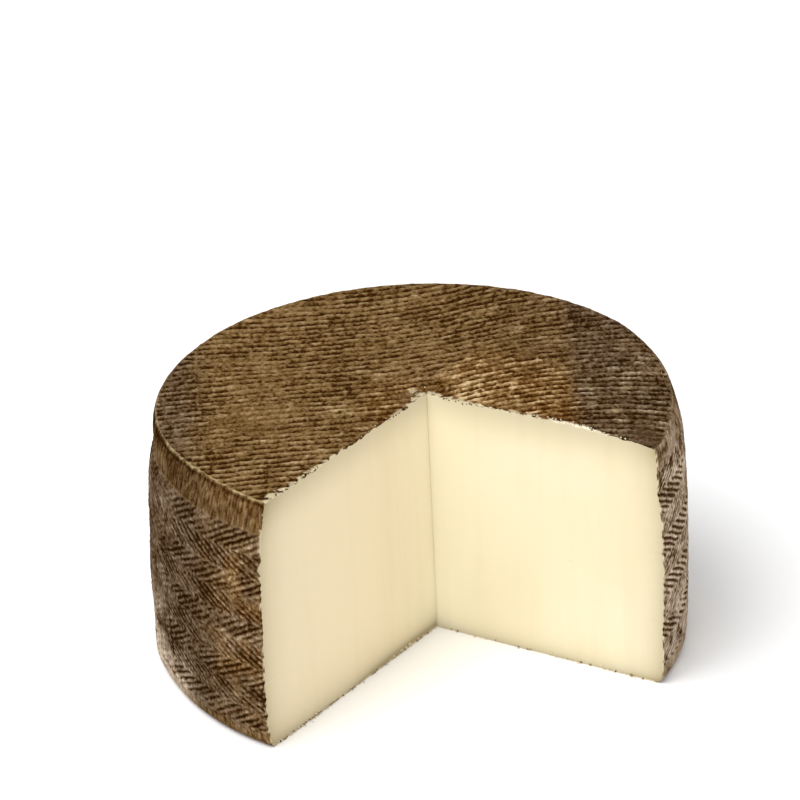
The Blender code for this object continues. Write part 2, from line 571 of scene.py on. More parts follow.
@dataclass
class WornTop:
    """What hands and the knife did to the top: its lip, its browns, its worn spots and torn edges.

    Each method changes the relief. Distances are in millimetres along the cut faces and behind them.
    """

    wheel: Wheel
    relief: Relief
    spot: TopPlace
    smooth_along: Span = (77.0, 87.0)  # the ribs are rubbed flat at the end of the right face
    smooth_behind: Span = (13.0, 8.0)
    smooth_edge: Noise = Noise(2.0, 4.0, 4.0, 72, 3)
    smooth_share: float = 0.7
    calm: Noise = Noise(0.10, 2.5, 2.5, 73, 3)
    calm_tone: float = 0.37
    warm_drift: Noise = Noise(0.30, 12.0, 12.0, 70, 3)
    glow: Patch = Patch(1.0, 8.0, 22.0, 6.0, 14.0)
    glow_light: float = 0.24
    right_patches: tuple[Patch, ...] = (
        Patch(1.0, 11.0, 8.0, 6.0, 6.5),
        Patch(0.6, 57.0, 9.0, 30.0, 6.0),
        Patch(0.6, 64.0, 9.0, 16.0, 3.5),
    )
    left_patches: tuple[Patch, ...] = (
        Patch(0.8, 30.0, 6.0, 19.0, 5.0),
        Patch(0.7, -9.0, 6.0, 22.0, 5.0),
    )
    patch_light: float = 0.10
    patch_wear: float = 0.8
    patch_dashes: Noise = Noise(1.0, 2.6, 1.0, 71)
    broken_middle: tuple[float, float] = (0.8, 4.5)  # the corner of the right face is broken
    broken_span: Span = (9.5, 4.0)
    broken_rough: Noise = Noise(1.0, 1.0, 1.0, 74, 3)
    broken_tone: float = 0.22
    spot_middle: tuple[float, float] = (8.5, 4.6)  # a grey spot lies beside the left face
    spot_spread: float = 3.6
    spot_long: float = 1.25
    spot_mottle: Noise = Noise(0.14, 2.0, 2.0, 75, 3)
    torn_step: Span = (0.1, -0.1)
    torn_start: float = 0.16
    torn_depth: float = 0.40
    torn_ragged: Noise = Noise(0.8, 1.3, 1.3, 81, 3)
    torn_rough: Noise = Noise(0.3, 0.9, 0.9, 87, 2)
    chalk_span: Span = (44.0, 54.0)

    def weather(self) -> Relief:
        """Adds the lip and all the wear to what the board pressed.

        The lip falls off by an exponential of the distance from it. The smoothed stretch loses most
        of its ribs.

        Returns:
            The relief.
        """
        wheel, relief, spot, x, y = self.wheel, self.relief, self.spot, self.spot.x, self.spot.y
        turn = wheel.turn(x, y)
        lip = wheel.lip_round * np.exp(-np.maximum(spot.inward, 0) / wheel.lip_reach)
        behind = spot.behind_right + self.smooth_edge.at(x, y)
        smoothed = ease(*self.smooth_along, spot.right) * ease(*self.smooth_behind, behind)
        relief.rise = relief.rise * (1 - self.smooth_share * smoothed) - lip
        relief.rise = relief.rise + wheel.crown(x, y) + wheel.wander(turn) * bell(spot.inward, 2.6)
        self.brown(smoothed)
        self.rub(turn)
        relief.tone = relief.tone + 0.25 * relief.warm * np.maximum(relief.tone - 0.5, 0.0)
        calm = self.calm_tone + self.calm.at(x, y) + 0.25 * (relief.tone - 0.5)
        relief.tone = relief.tone + (calm - relief.tone) * smoothed
        self.mark()
        self.tear()
        return relief

    def brown(self, smoothed: Array) -> None:
        """Sets where the rind is warm and oily, and where it is grey.

        The warm brown is a product of smooth steps behind the right cut face, and of a bell and two
        steps behind the left one, mottled by noise.

        Args:
            smoothed: 1 where the ribs are rubbed flat.
        """
        relief, spot = self.relief, self.spot
        right, behind_right = spot.right, spot.behind_right
        left, behind_left = spot.left, spot.behind_left
        warm = ease(62, 53, spot.along) * ease(50, 22, behind_right) * ease(-7, 4, right)
        warm_left = 0.8 * bell(behind_left - 4, 12.0) * ease(36, 12, left) * ease(-8, 0, left)
        drift = 0.80 + self.warm_drift.at(spot.x, spot.y)
        relief.warm = np.maximum(warm, warm_left) * drift
        relief.ash = np.maximum(relief.ash * (1 - relief.warm), smoothed)

    def rub(self, turn: Array) -> None:
        """Adds the pale lip, the rubbed patches and the glow round the first of them.

        A patch wears the crests alone, in dashes that noise picks.

        Args:
            turn: angle round the axis.
        """
        relief, spot = self.relief, self.spot
        right, left = (spot.right, spot.behind_right), (spot.left, spot.behind_left)
        patch = np.zeros_like(spot.x)
        for patches, face in ((self.right_patches, right), (self.left_patches, left)):
            for one in patches:
                patch = np.maximum(patch, one.at(*face))
        dashes = ease(0.0, 0.7, self.patch_dashes.at(spot.along, spot.rib * 2.2))
        crests = ease(0.30, 0.62, relief.tone)
        lip = RubbedLip(self.wheel).at(turn, spot.inward)
        relief.wear = np.maximum(lip, self.patch_wear * patch * dashes * crests)
        relief.tone = relief.tone + self.glow_light * self.glow.at(*right) + self.patch_light * patch

    def mark(self) -> None:
        """Adds the dark broken rind at the notch and the grey spot beside the left cut face."""
        relief, spot, x, y = self.relief, self.spot, self.spot.x, self.spot.y
        middle_right, middle_behind = self.broken_middle
        gap = np.hypot(spot.right - middle_right, spot.behind_right - middle_behind)
        broken = ease(*self.broken_span, gap)
        rough = self.broken_rough.at(x, y)
        relief.tone = relief.tone + broken * (0.85 * (self.broken_tone - relief.tone) + 0.45 * rough)
        relief.rise = relief.rise + 0.30 * broken * (rough - 0.4)
        middle_left, middle_behind = self.spot_middle
        across = (spot.left - middle_left) / self.spot_long
        grey = 0.75 * bell(np.hypot(across, spot.behind_left - middle_behind), self.spot_spread)
        relief.tone = relief.tone + grey * (0.50 + self.spot_mottle.at(x, y) - relief.tone)
        relief.ash = np.maximum(relief.ash, 0.8 * grey)
        relief.warm = relief.warm * (1 - 0.7 * grey)

    def tear(self) -> None:
        """Tears the rind along the cut faces and at the notch where they meet.

        The rind is gone where the depth behind a face is less than the strip's width, which noises
        along the face and bells of the distance along it work out.
        """
        relief, spot, x, y = self.relief, self.spot, self.spot.x, self.spot.y
        right, behind_right = spot.right, spot.behind_right
        left, behind_left = spot.left, spot.behind_left
        ragged = 1.0 + self.torn_ragged.at(x, y)
        strip = 0.5 * ease(0.45, 0.9, smooth_noise(right / 2.7, 4.5, 82)) + 1.25 * bell(right - 62, 8.5)
        near = 1.5 * ease(18, 11, right) * ease(-0.5, 0.4, smooth_noise(right / 2.1, 7.5, 84))
        strip = (strip + near) * ease(-1, 1, right) * ease(96, 90, right)
        nick = 0.5 * ease(0.35, 0.8, smooth_noise(left / 2.4, 4.5, 83))
        far = ease(48, 74, left) * (0.45 + 0.95 * smooth_noise(left / 1.9, 2.5, 88))
        nick = nick + far + 1.9 * bell(left - 93, 6.0)
        torn = ease(*self.torn_step, behind_right + self.torn_start - strip * ragged) * (right > -2)
        torn_left = ease(*self.torn_step, behind_left + self.torn_start - nick * ragged) * (left > -2)
        torn_left = torn_left * ease(0.08, 0.28, relief.tone + 0.3 * ease(88, 94, left))
        chalk = ease(*self.chalk_span, right)
        torn = torn * np.maximum(ease(0.08, 0.28, relief.tone), chalk)
        notch = np.hypot((left - 2.2) / 3.6, (behind_left - 2.8) / 3.4) - 0.80
        notch = notch - Noise(0.5, 1.7, 1.7, 85, 3).at(x, y)
        kept = 0.8 * ease(-0.05, 0.35, smooth_noise(x / 0.9, y / 0.9, 86))
        relief.torn = np.maximum(np.maximum(torn, torn_left), ease(*self.torn_step, notch) * kept)
        relief.chalk = torn * chalk
        relief.rise = relief.rise - relief.torn * (self.torn_depth + self.torn_rough.at(x, y))


@dataclass(frozen=True)
class PressedRibs:
    """The ribs that a woven pressing board left on an end of the wheel.

    Places are measured along the ribs from the axis, in millimetres, and across them, in ribs.
    """

    wheel: Wheel
    end: End
    pitch: float = 3.78
    depth: float = 0.62
    groove_width: float = 0.27  # of the pitch
    board_heading: float = 34.3 * DEGREE
    sweep: float = 20.0
    sweep_place: float = 22.0
    sweep_length: float = 27.0
    slant: float = 0.03
    bow: float = 0.00045
    drift: Noise = Noise(0.8, 24.0, 11.0, 0)
    waver: Noise = Noise(0.17, 6.5, 3.1, 1)
    strand: float = 6.6  # width of the board's strands, which cross the ribs
    strand_drift: Noise = Noise(0.35, 31.0, 8.0, 2)
    strand_offset: float = 0.30
    strand_shift: float = 0.16
    own_shift: float = 0.18
    shiver: Noise = Noise(0.07, 1.7, 1.0, 5)
    beads: Noise = Noise(1.0, 1.5, 1.0, 7)
    bead_span: Span = (-0.8, 0.35)
    seam_width: float = 0.07
    seam_break: float = 0.60
    soft: Patch = Patch(1.0, -60.0, 26.0, 0.0, 5.5)  # where the board pressed less
    firm: Patch = Patch(1.0, -55.0, 24.0, -9.0, 4.5)  # and where it pressed more
    rear_ribs: Span = (2.0, 9.0)
    far_span: Span = (48.0, 60.0)
    press: Noise = Noise(0.42, 19.0, 19.0, 9, 3)
    press_range: tuple[float, float] = (0.35, 1.15)
    dashes: float = 1.35  # dashes of a crest to a strand
    gap_width: float = 0.11
    nodules: Noise = Noise(1.0, 0.9, 1.0, 11)
    mottle: Noise = Noise(0.12, 9.0, 9.0, 12, 3)
    grain: Noise = Noise(0.12, 1.1, 1.1, 13, 2)
    thread: float = 1.4
    thread_drift: Noise = Noise(2.5, 5.0, 1.0, 18)
    ash_drift: Noise = Noise(0.25, 12.0, 12.0, 14, 3)
    base_torn: Noise = Noise(1.0, 3.5, 1.0, 19)

    @property
    def seed(self) -> int:
        """The first seed of this end's noises."""
        return 11 if self.end is End.TOP else 61

    def lines(self, x: Array, y: Array) -> tuple[Array, Array]:
        """Measures places along the board's ribs and across them.

        The plan is turned to the board, then each place is moved back by the ribs' own sweep, which
        is half a hyperbolic tangent plus a gentle parabola, and by a slow wander of two noises.

        Args:
            x, y: the places.

        Returns:
            The distance along the ribs, and the distance across them counted in ribs.
        """
        cosine, sine = math.cos(self.board_heading), math.sin(self.board_heading)
        along, across = x * cosine + y * sine, y * cosine - x * sine
        across = across - self.sweep / 2 * np.tanh((along - self.sweep_place) / self.sweep_length)
        across = across - self.slant * along + self.bow * along**2
        across = across + self.drift.at(along, across, self.seed)
        across = across + self.waver.at(along, across, self.seed)
        return along, across / self.pitch

    def woven(self, along: Array, rib: Array) -> tuple[Array, Array]:
        """Breaks the ribs into the strands of the board's weave.

        The strands drift, and each rib starts them at its own offset. In a strand all ribs move
        sideways by one draw and each rib by its own, and a fine noise makes them shiver.

        Args:
            along: distance along the ribs.
            rib: distance across them.

        Returns:
            The distance along counted in strands, and the new distance across.
        """
        seed, zero = self.seed, np.zeros_like(along)
        lane = along / self.strand + self.strand_drift.at(along, rib, seed)
        lane = lane + self.strand_offset * hash_unit(np.round(rib), zero, seed + 15)
        rib = rib + self.strand_shift * (held(lane, zero, seed + 3) - 0.5)
        rib = rib + self.own_shift * (held(lane, np.round(rib), seed + 4) - 0.5)
        return lane, rib + self.shiver.at(along, np.round(rib) * 7.3, seed)

    def grooves(self, along: Array, rib: Array, lane: Array, press: Array, firm: Array) -> Array:
        """Works out the grooves between the ribs.

        A groove is a bell across the ribs. It has a strength of its own in each strand, is beaded
        along its length, less so where the board pressed more, and is broken at some of the seams.

        Args:
            along: distance along the ribs.
            rib: distance across them.
            lane: distance along, in strands.
            press: how hard the board pressed.
            firm: 1 where it pressed most.

        Returns:
            The depth of the grooves, from 0 to about 1.
        """
        seed, number, seam_number = self.seed, np.round(rib), np.round(lane)
        strength = 0.48 + 0.52 * held(lane, number, seed + 6)
        bead = ease(*self.bead_span, self.beads.at(along, number * 3.7, seed))
        seam = bell(lane - seam_number, self.seam_width)
        seam = seam * (hash_unit(seam_number, number, seed + 8) < 0.5)
        whole = 0.30 + 0.30 * firm
        groove = bell(rib - number, self.groove_width) * strength * (whole + (1 - whole) * bead) * press
        return groove * (1 - self.seam_break * seam)

    def crests(self, rib: Array, lane: Array) -> tuple[Array, Array]:
        """Breaks the crests of the ribs into dashes.

        Args:
            rib: distance across the ribs.
            lane: distance along them, in strands.

        Returns:
            The lightness of each dash, and a bell at some of the gaps between them.
        """
        seed, crest = self.seed, np.floor(rib)
        dash = self.dashes * lane + 0.5 * hash_unit(crest, np.zeros_like(rib), seed + 16)
        light = held(dash, crest, seed + 10, 0.12) ** 1.5
        gap = bell(dash - np.round(dash), self.gap_width)
        return light, gap * (hash_unit(np.round(dash), crest, seed + 17) < 0.6)

    def at(self, x: Array, y: Array) -> Relief:
        """Works out the end's relief, seen from outside.

        Each rib has a number, and strands of the board's weave cross the ribs. Grooves part the
        ribs, and the crests are broken into dashes, each with its own lightness, and mottled by
        nodules, threads and clouds. The top is then worn, and the base torn along the cut.

        Args:
            x, y: the places.

        Returns:
            The relief, with its rise counted up from the end's plain face.
        """
        wheel, seed, zero = self.wheel, self.seed, np.zeros_like(x)
        along, plain_rib = self.lines(x, y)
        lane, rib = self.woven(along, plain_rib)
        soft, firm = self.soft.at(along, rib), self.firm.at(along, rib)
        rear, ashen = ease(*self.rear_ribs, rib), ease(20, 50, along)
        press = 0.95 + self.press.at(x, y, seed) - 0.55 * soft + 0.30 * firm
        press = press - 0.12 * rear - 0.14 * ease(*self.far_span, along)
        press = np.clip(press, *self.press_range)
        groove = self.grooves(along, rib, lane, press, firm)
        light, gap = self.crests(rib, lane)
        on_crest = 0.5 - 0.5 * np.cos(2 * math.pi * rib)
        inward = wheel.end_radius(self.end, wheel.turn(x, y)) - np.hypot(x, y)
        shoulder = ease(0.2, 1.1, inward)
        groove, gap = groove * shoulder, gap * on_crest * shoulder * press

        nodules = self.nodules.at(along, rib * 3.4, seed)
        threads = 2 * math.pi * along / self.thread + self.thread_drift.at(along, rib, seed)
        lively = 0.44 * (1 - 0.35 * soft - 0.30 * rear - 0.30 * ease(-72, -85, along))
        tone = 0.50 + on_crest * (lively * (light - 0.36) + 0.09) + 0.05 * np.cos(threads) * on_crest
        tone = tone + 0.15 * (1 - 0.5 * firm) * nodules + 0.12 * firm - 0.06 * soft
        tone = tone - 0.07 * rear * ashen + self.mottle.at(x, y, seed)
        tone = tone - 0.98 * groove - 0.40 * gap
        grain = self.grain.at(x, y, seed) - 0.12
        rise = shoulder * (0.20 * (on_crest - 1) + grain) - self.depth * groove - 0.15 * gap
        ash = np.maximum(0.9 * ease(-72, -88, along), 0.25 * ashen + 0.70 * ease(53, 63, along))
        ash = ash * (0.90 + self.ash_drift.at(x, y, seed))
        relief = Relief(rise, tone, zero, zero, ash, zero, zero, zero, zero)
        if self.end is End.BASE:
            return self.base_edges(relief, x, y)
        right, left = wheel.from_cut(x, y, Face.RIGHT), wheel.from_cut(x, y, Face.LEFT)
        spot = TopPlace(x, y, along, plain_rib, inward, *right, *left)
        return WornTop(wheel, relief, spot).weather()

    def base_edges(self, relief: Relief, x: Array, y: Array) -> Relief:
        """Flattens the base's ribs towards the cut, and bares a line of paste along it.

        Args:
            relief: the relief that the board pressed.
            x, y: the places.

        Returns:
            The relief.
        """
        knife = self.wheel.from_knife(x, y)
        left, _ = self.wheel.from_cut(x, y, Face.LEFT)
        relief.rise = relief.rise * (0.03 + 0.97 * ease(0.0, 3.0, knife))
        dark = ease(-0.2, 0.3, self.base_torn.at(left, 0.5, self.seed)) * ease(20, 40, left)
        relief.torn = ease(0.9, 0.4, knife) * (1 - 0.8 * dark)
        return relief


@dataclass
class BandPlace:
    """Places on the side, and where they lie in the plaited band.

    around is the distance round the wheel, row counts the band's rows down from its top, and down is
    the share of the way down a row. falling is 1 in the rows whose strokes fall to the right, inside
    is 1 in the band and above is 1 over it. left_cut and right_cut grow towards the cut faces,
    smeared and middle are stretches beyond the left one, and inward is the depth below the rim.
    crinkle is upright relief outside the band, blotch a noise, and ochre pale upright grain.
    """

    z: Array
    around: Array
    degrees: Array
    row: Array
    down: Array
    falling: Array
    inside: Array
    above: Array
    left_cut: Array
    right_cut: Array
    smeared: Array
    middle: Array
    inward: Array
    crinkle: Array
    blotch: Array
    ochre: Array


@dataclass(frozen=True)
class PlaitedBand:
    """The herringbone that the mould's plaited band left round the side.

    Zones round the wheel are in degrees, and zones up its side in millimetres.
    """

    wheel: Wheel
    rows: int = 9
    band_top: float = 87.1
    row_height: float = 9.06
    slope: float = 28.0 * DEGREE
    stroke_pitch: float = 2.2
    stroke_width: float = 0.275  # of the pitch
    depth: float = 0.72
    proud: float = 0.40
    left_zone: Span = (236.0, 262.0)
    right_zone: Span = (38.0, 12.0)
    smeared_start: Span = (196.0, 208.0)
    smeared_end: Span = (240.0, 229.0)
    middle: float = 250.0
    middle_spread: float = 7.5
    low_zone: Span = (250.0, 238.0)
    back_start: Span = (190.0, 205.0)
    row_drift: Noise = Noise(0.6, 21.0, 1.0, 101)
    row_waver: Noise = Noise(0.3, 5.0, 6.0, 102)
    slide: Noise = Noise(0.9, 13.0, 7.0, 103)
    line_waver: Noise = Noise(0.10, 2.6, 2.6, 104)
    press: Noise = Noise(1.0, 8.0, 6.0, 106, 3)
    crinkles: Noise = Noise(1.0, 0.62, 6.0, 107)
    wide_crinkles: Noise = Noise(0.8, 1.5, 9.0, 108)
    grain: Noise = Noise(1.0, 1.3, 1.3, 109, 2)
    lumps: Noise = Noise(1.0, 30.0, 22.0, 110, 2)
    blotches: Noise = Noise(1.0, 9.0, 7.0, 111, 3)
    specks: Noise = Noise(1.0, 1.1, 1.1, 113)
    mottle: Noise = Noise(1.0, 8.0, 6.0, 114, 3)
    # mottles the painted light on the right of the side
    painted_light_drift: Noise = Noise(0.30, 5.0, 5.0, 116, 3)
    warm_drift: Noise = Noise(1.0, 8.0, 8.0, 118, 3)
    teeth: Noise = Noise(1.0, 1.5, 1.0, 119)
    teeth_rough: Noise = Noise(0.6, 1.1, 1.1, 120, 3)
    stains: Noise = Noise(1.0, 4.0, 3.2, 121, 3)
    dark_cracks: Noise = Noise(1.0, 7.0, 16.0, 122)
    pale_cracks: Noise = Noise(1.0, 5.0, 13.0, 123)
    ochre: Noise = Noise(1.0, 0.5, 5.0, 124)

    def band(self, turn: Array) -> tuple[Array, Array]:
        """The height of the band's top and of one row, which both drift round the wheel as a cosine."""
        drift = 0.5 + 0.5 * np.cos(turn - 20 * DEGREE)
        return self.band_top + 0.9 * drift, self.row_height - 0.30 * drift

    def places(self, turn: Array, z: Array) -> BandPlace:
        """Works out where places lie in the band.

        Args:
            turn: angle round the axis.
            z: height above the base.

        Returns:
            The places.
        """
        around, degrees = turn * self.wheel.radius, np.degrees(turn)
        top, row_height = self.band(turn)
        level = z + self.row_drift.at(around, 3.5) + self.row_waver.at(around, z)
        place_in = (top - level) / row_height
        row = np.floor(place_in)
        inside = ease(-0.04, 0.06, place_in) * ease(self.rows + 0.3, self.rows - 0.1, place_in)
        crinkle = self.crinkles.at(around, z) + self.wide_crinkles.at(around, z)
        ochre = ease(0.25, 0.6, self.ochre.at(around, z))
        return BandPlace(
            z=z,
            around=around,
            degrees=degrees,
            row=row,
            down=place_in - row,
            falling=np.mod(row, 2),
            inside=inside,
            above=1 - ease(-0.04, 0.06, place_in + 0.06),
            left_cut=ease(*self.left_zone, degrees),
            right_cut=ease(*self.right_zone, degrees),
            smeared=ease(*self.smeared_start, degrees) * ease(*self.smeared_end, degrees),
            middle=bell(degrees - self.middle, self.middle_spread),
            inward=self.wheel.rim_height(turn) - z,
            crinkle=ease(-0.1, 1.1, crinkle) * (1 - inside),
            blotch=self.blotches.at(around, z),
            ochre=ochre * ease(252, 264, degrees) * (1 - inside),
        )

    def strokes(self, spot: BandPlace) -> tuple[Array, Array, Array]:
        """Works out the strokes of the herringbone.

        A row's strokes are parallel lines that rise by the slope, to the right in the first row and
        to the left in the next, where weaker strokes cross them. A stroke is a bell across its line,
        fades at the row's edges, and has its own strength. The mould pressed unevenly.

        Args:
            spot: the places.

        Returns:
            The distance across the strokes counted in strokes, how hard the mould pressed, and the
            depth of the strokes from 0 to 1.
        """
        falling, right_cut, down = spot.falling, spot.right_cut, spot.down
        slide = spot.around + self.slide.at(spot.around, spot.z) + 9.7 * spot.row
        rise, run = spot.z * math.cos(self.slope), slide * math.sin(self.slope)
        line = (rise - (1 - 2 * falling) * run) / self.stroke_pitch
        line = line + self.line_waver.at(spot.around, spot.z)
        cross = (rise - run) / self.stroke_pitch
        number = np.round(line)
        own = hash_unit(number, spot.row, 105)
        ends = ease(0.0, 0.06 + 0.12 * own, down) * ease(1.0, 0.93 - 0.10 * own, down)
        near_cut = np.maximum(spot.left_cut, right_cut)
        pressed = ease(-0.55, 0.25, self.press.at(spot.around, spot.z) + 0.25 * near_cut)
        pressed = pressed * (1 - 0.66 * spot.smeared)
        pressed = pressed * (1 - 0.65 * (right_cut * (1 - falling)))
        stroke = bell(line - number, self.stroke_width - 0.05 * right_cut) * (0.40 + 0.60 * own)
        crossed = 0.45 * falling * (1 - right_cut) * bell(cross - np.round(cross), self.stroke_width)
        stroke = np.maximum(stroke, crossed) * (0.12 + 0.88 * ends) * spot.inside * pressed
        return line, pressed, stroke * (1 - 0.25 * spot.middle)

    def at(self, turn: Array, z: Array) -> Relief:
        """Works out the side's relief.

        Strokes are pressed into the band. Above and below it the rind has fine upright crinkles.
        Beyond the left cut face a stretch is smeared and blotched, and the rind is torn in small
        teeth along both cuts.

        Args:
            turn: angle round the axis.
            z: height above the base.

        Returns:
            The relief, with its rise counted outwards from the barrel.
        """
        wheel, spot = self.wheel, self.places(turn, z)
        around, inside = spot.around, spot.inside
        line, pressed, stroke = self.strokes(spot)
        pillow = 0.18 * (np.sin(math.pi * np.clip(spot.down, 0, 1)) * inside - 1)
        grain = 0.11 * (self.grain.at(around, z) - 1)
        lump = 0.30 * (self.lumps.at(around, z) - 1)
        bulk = self.proud - self.depth * stroke - 0.14 * spot.crinkle + pillow + grain + lump
        bulk = bulk + 0.2 * spot.smeared * (spot.blotch - 1)
        shoulder = ease(0.0, 1.8, spot.inward)
        patchy = ease(-0.3, 0.5, self.warm_drift.at(around, z))
        near = np.maximum(ease(246, 266, spot.degrees), 0.8 * ease(12, 4, spot.degrees))
        warm = np.maximum((0.15 + 0.4 * patchy) * near, 0.75 * spot.ochre)
        radius = wheel.side_radius(z, turn)
        behind = wheel.from_knife(radius * np.cos(turn), radius * np.sin(turn))
        teeth = 0.55 * ease(0.0, 0.8, self.teeth.at(z, np.round(spot.degrees / 180)))
        teeth = teeth * (1 + self.teeth_rough.at(around, z))
        torn = 0.85 * ease(0.1, -0.1, behind + 0.14 - teeth)
        return Relief(
            rise=bulk * shoulder - 0.3 * torn * shoulder,
            tone=self.tone(spot, line, pressed, stroke),
            wear=RubbedLip(wheel).at(turn, spot.inward),
            warm=warm,
            ash=(0.55 + 0.45 * inside) * (1 - warm),
            dust_and_painted_light=self.dust_and_painted_light(spot),
            torn=torn,
            chalk=np.zeros_like(bulk),
            streak=(1 - inside) * (0.6 + 0.4 * spot.left_cut),
        )

    def tone(self, spot: BandPlace, line: Array, pressed: Array, stroke: Array) -> Array:
        """Works out how light the rind is, from a stroke's dark to a crest's light.

        Each stroke has its own lightness and shades by a cosine across it. Noises mottle the band,
        the shoulder over it is darker, the foot lighter, stains lie near the right cut face, and
        cracks run up the stretch beyond the left one.

        Args:
            spot: the places.
            line: distance across the strokes, in strokes.
            pressed: how hard the mould pressed.
            stroke: depth of the strokes.

        Returns:
            The tone.
        """
        around, z, degrees, inward = spot.around, spot.z, spot.degrees, spot.inward
        inside, falling, right_cut = spot.inside, spot.falling, spot.right_cut
        near_cut = np.maximum(spot.left_cut, right_cut)
        tone = 0.49 + 0.26 * (hash_unit(np.floor(line), spot.row, 112) - 0.5) * inside * pressed
        tone = tone - (0.11 + 0.06 * falling) * np.cos(2 * math.pi * line) * inside * pressed
        tone = tone + (0.05 + 0.17 * inside) * self.specks.at(around, z)
        tone = tone + (0.08 + 0.14 * inside) * self.mottle.at(around, z)
        tone = tone + 0.30 * spot.smeared * spot.blotch
        tone = tone - (0.60 + 0.78 * right_cut) * stroke - 0.16 * spot.crinkle
        tone = tone - 0.20 * bell(inward - 1.2, 0.7) * (1 - right_cut)
        foot = 0.18 * ease(26, 11, z) * ease(*self.low_zone, degrees)
        tone = tone + 0.07 * near_cut * inside + foot
        tone = tone - (0.23 - 0.13 * spot.left_cut) * spot.above * (1 - right_cut)
        stain = self.stains.at(around, z)
        stain = np.where(stain < 0, 1.7 * stain, 0.6 * stain)
        stained = 0.30 * (1 - falling) * inside + 0.22 * ease(76, 82, z) + 0.32 * ease(22, 14, z)
        tone = tone + right_cut * stain * stained
        tone = tone - spot.middle * inside * (0.05 + 0.35 * np.maximum(tone - 0.5, 0.0))
        tone = tone + 0.14 * spot.ochre
        crack = 0.22 * bell(self.pale_cracks.at(around, z), 0.10)
        crack = crack - 0.30 * bell(self.dark_cracks.at(around, z), 0.09)
        crack = crack * ease(246, 232, degrees) * ease(*self.back_start, degrees) * ease(62, 36, z)
        tone = tone + crack
        return tone - 0.35 * bell(degrees - 9, 3.0) * bell(inward - 2.8, 1.4) * right_cut

    def dust_and_painted_light(self, spot: BandPlace) -> Array:
        """Works out the pale mask: painted light as a bell of the angle at the right of the side, and
        real dust at the foot round the left.

        Args:
            spot: the places.

        Returns:
            The mask of painted light and dust.
        """
        z, degrees = spot.z, spot.degrees
        # painted light: the right of the side is painted paler, standing in for light that falls on it
        dust_and_painted_light = 0.92 * bell(degrees - 22, 26.0) * (0.82 + self.painted_light_drift.at(spot.around, z))
        dust_and_painted_light = dust_and_painted_light * (1 - 0.42 * ease(34, 10, z)) * (1 - 0.12 * ease(80, 90, z))
        low = 0.5 * ease(24, 8, z) * ease(250, 236, degrees)
        low = low + 0.35 * ease(46, 26, z) * ease(230, 216, degrees)
        low = np.minimum(low, 0.50) * ease(*self.back_start, degrees) * (0.75 + 0.5 * spot.blotch)
        return np.maximum(dust_and_painted_light, low)


# ---- Meshes ----------------------------------------------------------------


@dataclass
class Polygons:
    """Polygons as flat arrays: all their corners, each polygon's size, and the corners' map places."""

    corners: Array
    sizes: Array
    places: Array

    @classmethod
    def of(cls, table: Array, places: Array) -> Polygons:
        """Polygons of one size, from a table with a row for each and the map places of its corners."""
        return cls(table.ravel(), np.full(len(table), table.shape[1]), places.reshape(-1, 2))

    @classmethod
    def joined(cls, parts: list[Polygons]) -> Polygons:
        """Joins several sets of polygons.

        Args:
            parts: the sets.

        Returns:
            One set.
        """
        return cls(
            np.concatenate([part.corners for part in parts]),
            np.concatenate([part.sizes for part in parts]),
            np.concatenate([part.places for part in parts]),
        )


def grid_quads(numbers: Array, keep: Array) -> Array:
    """The quads of a grid of vertices.

    Args:
        numbers: the vertex numbers, in two dimensions.
        keep: one truth value for each cell.

    Returns:
        A row of four vertex numbers for each kept cell, counter-clockwise in the grid's own axes.
    """
    quads = np.stack([numbers[:-1, :-1], numbers[1:, :-1], numbers[1:, 1:], numbers[:-1, 1:]], axis=-1)
    return quads[keep]


def grid_normals(points: Array) -> Array:
    """Unit normals of a grid of points, as the cross product of its differences along both axes.

    Args:
        points: the grid.

    Returns:
        A normal for each point.
    """
    first, second = np.gradient(points, axis=0), np.gradient(points, axis=1)
    normals = np.cross(first, second)
    return normals / np.linalg.norm(normals, axis=-1, keepdims=True)


def in_box(box: Box, across: Array, up: Array) -> Array:
    """Places in a box of a bake map, at a share of the way across it and of the way up it."""
    return np.stack([box[0] + box[2] * across, box[1] + box[3] * up], axis=-1)


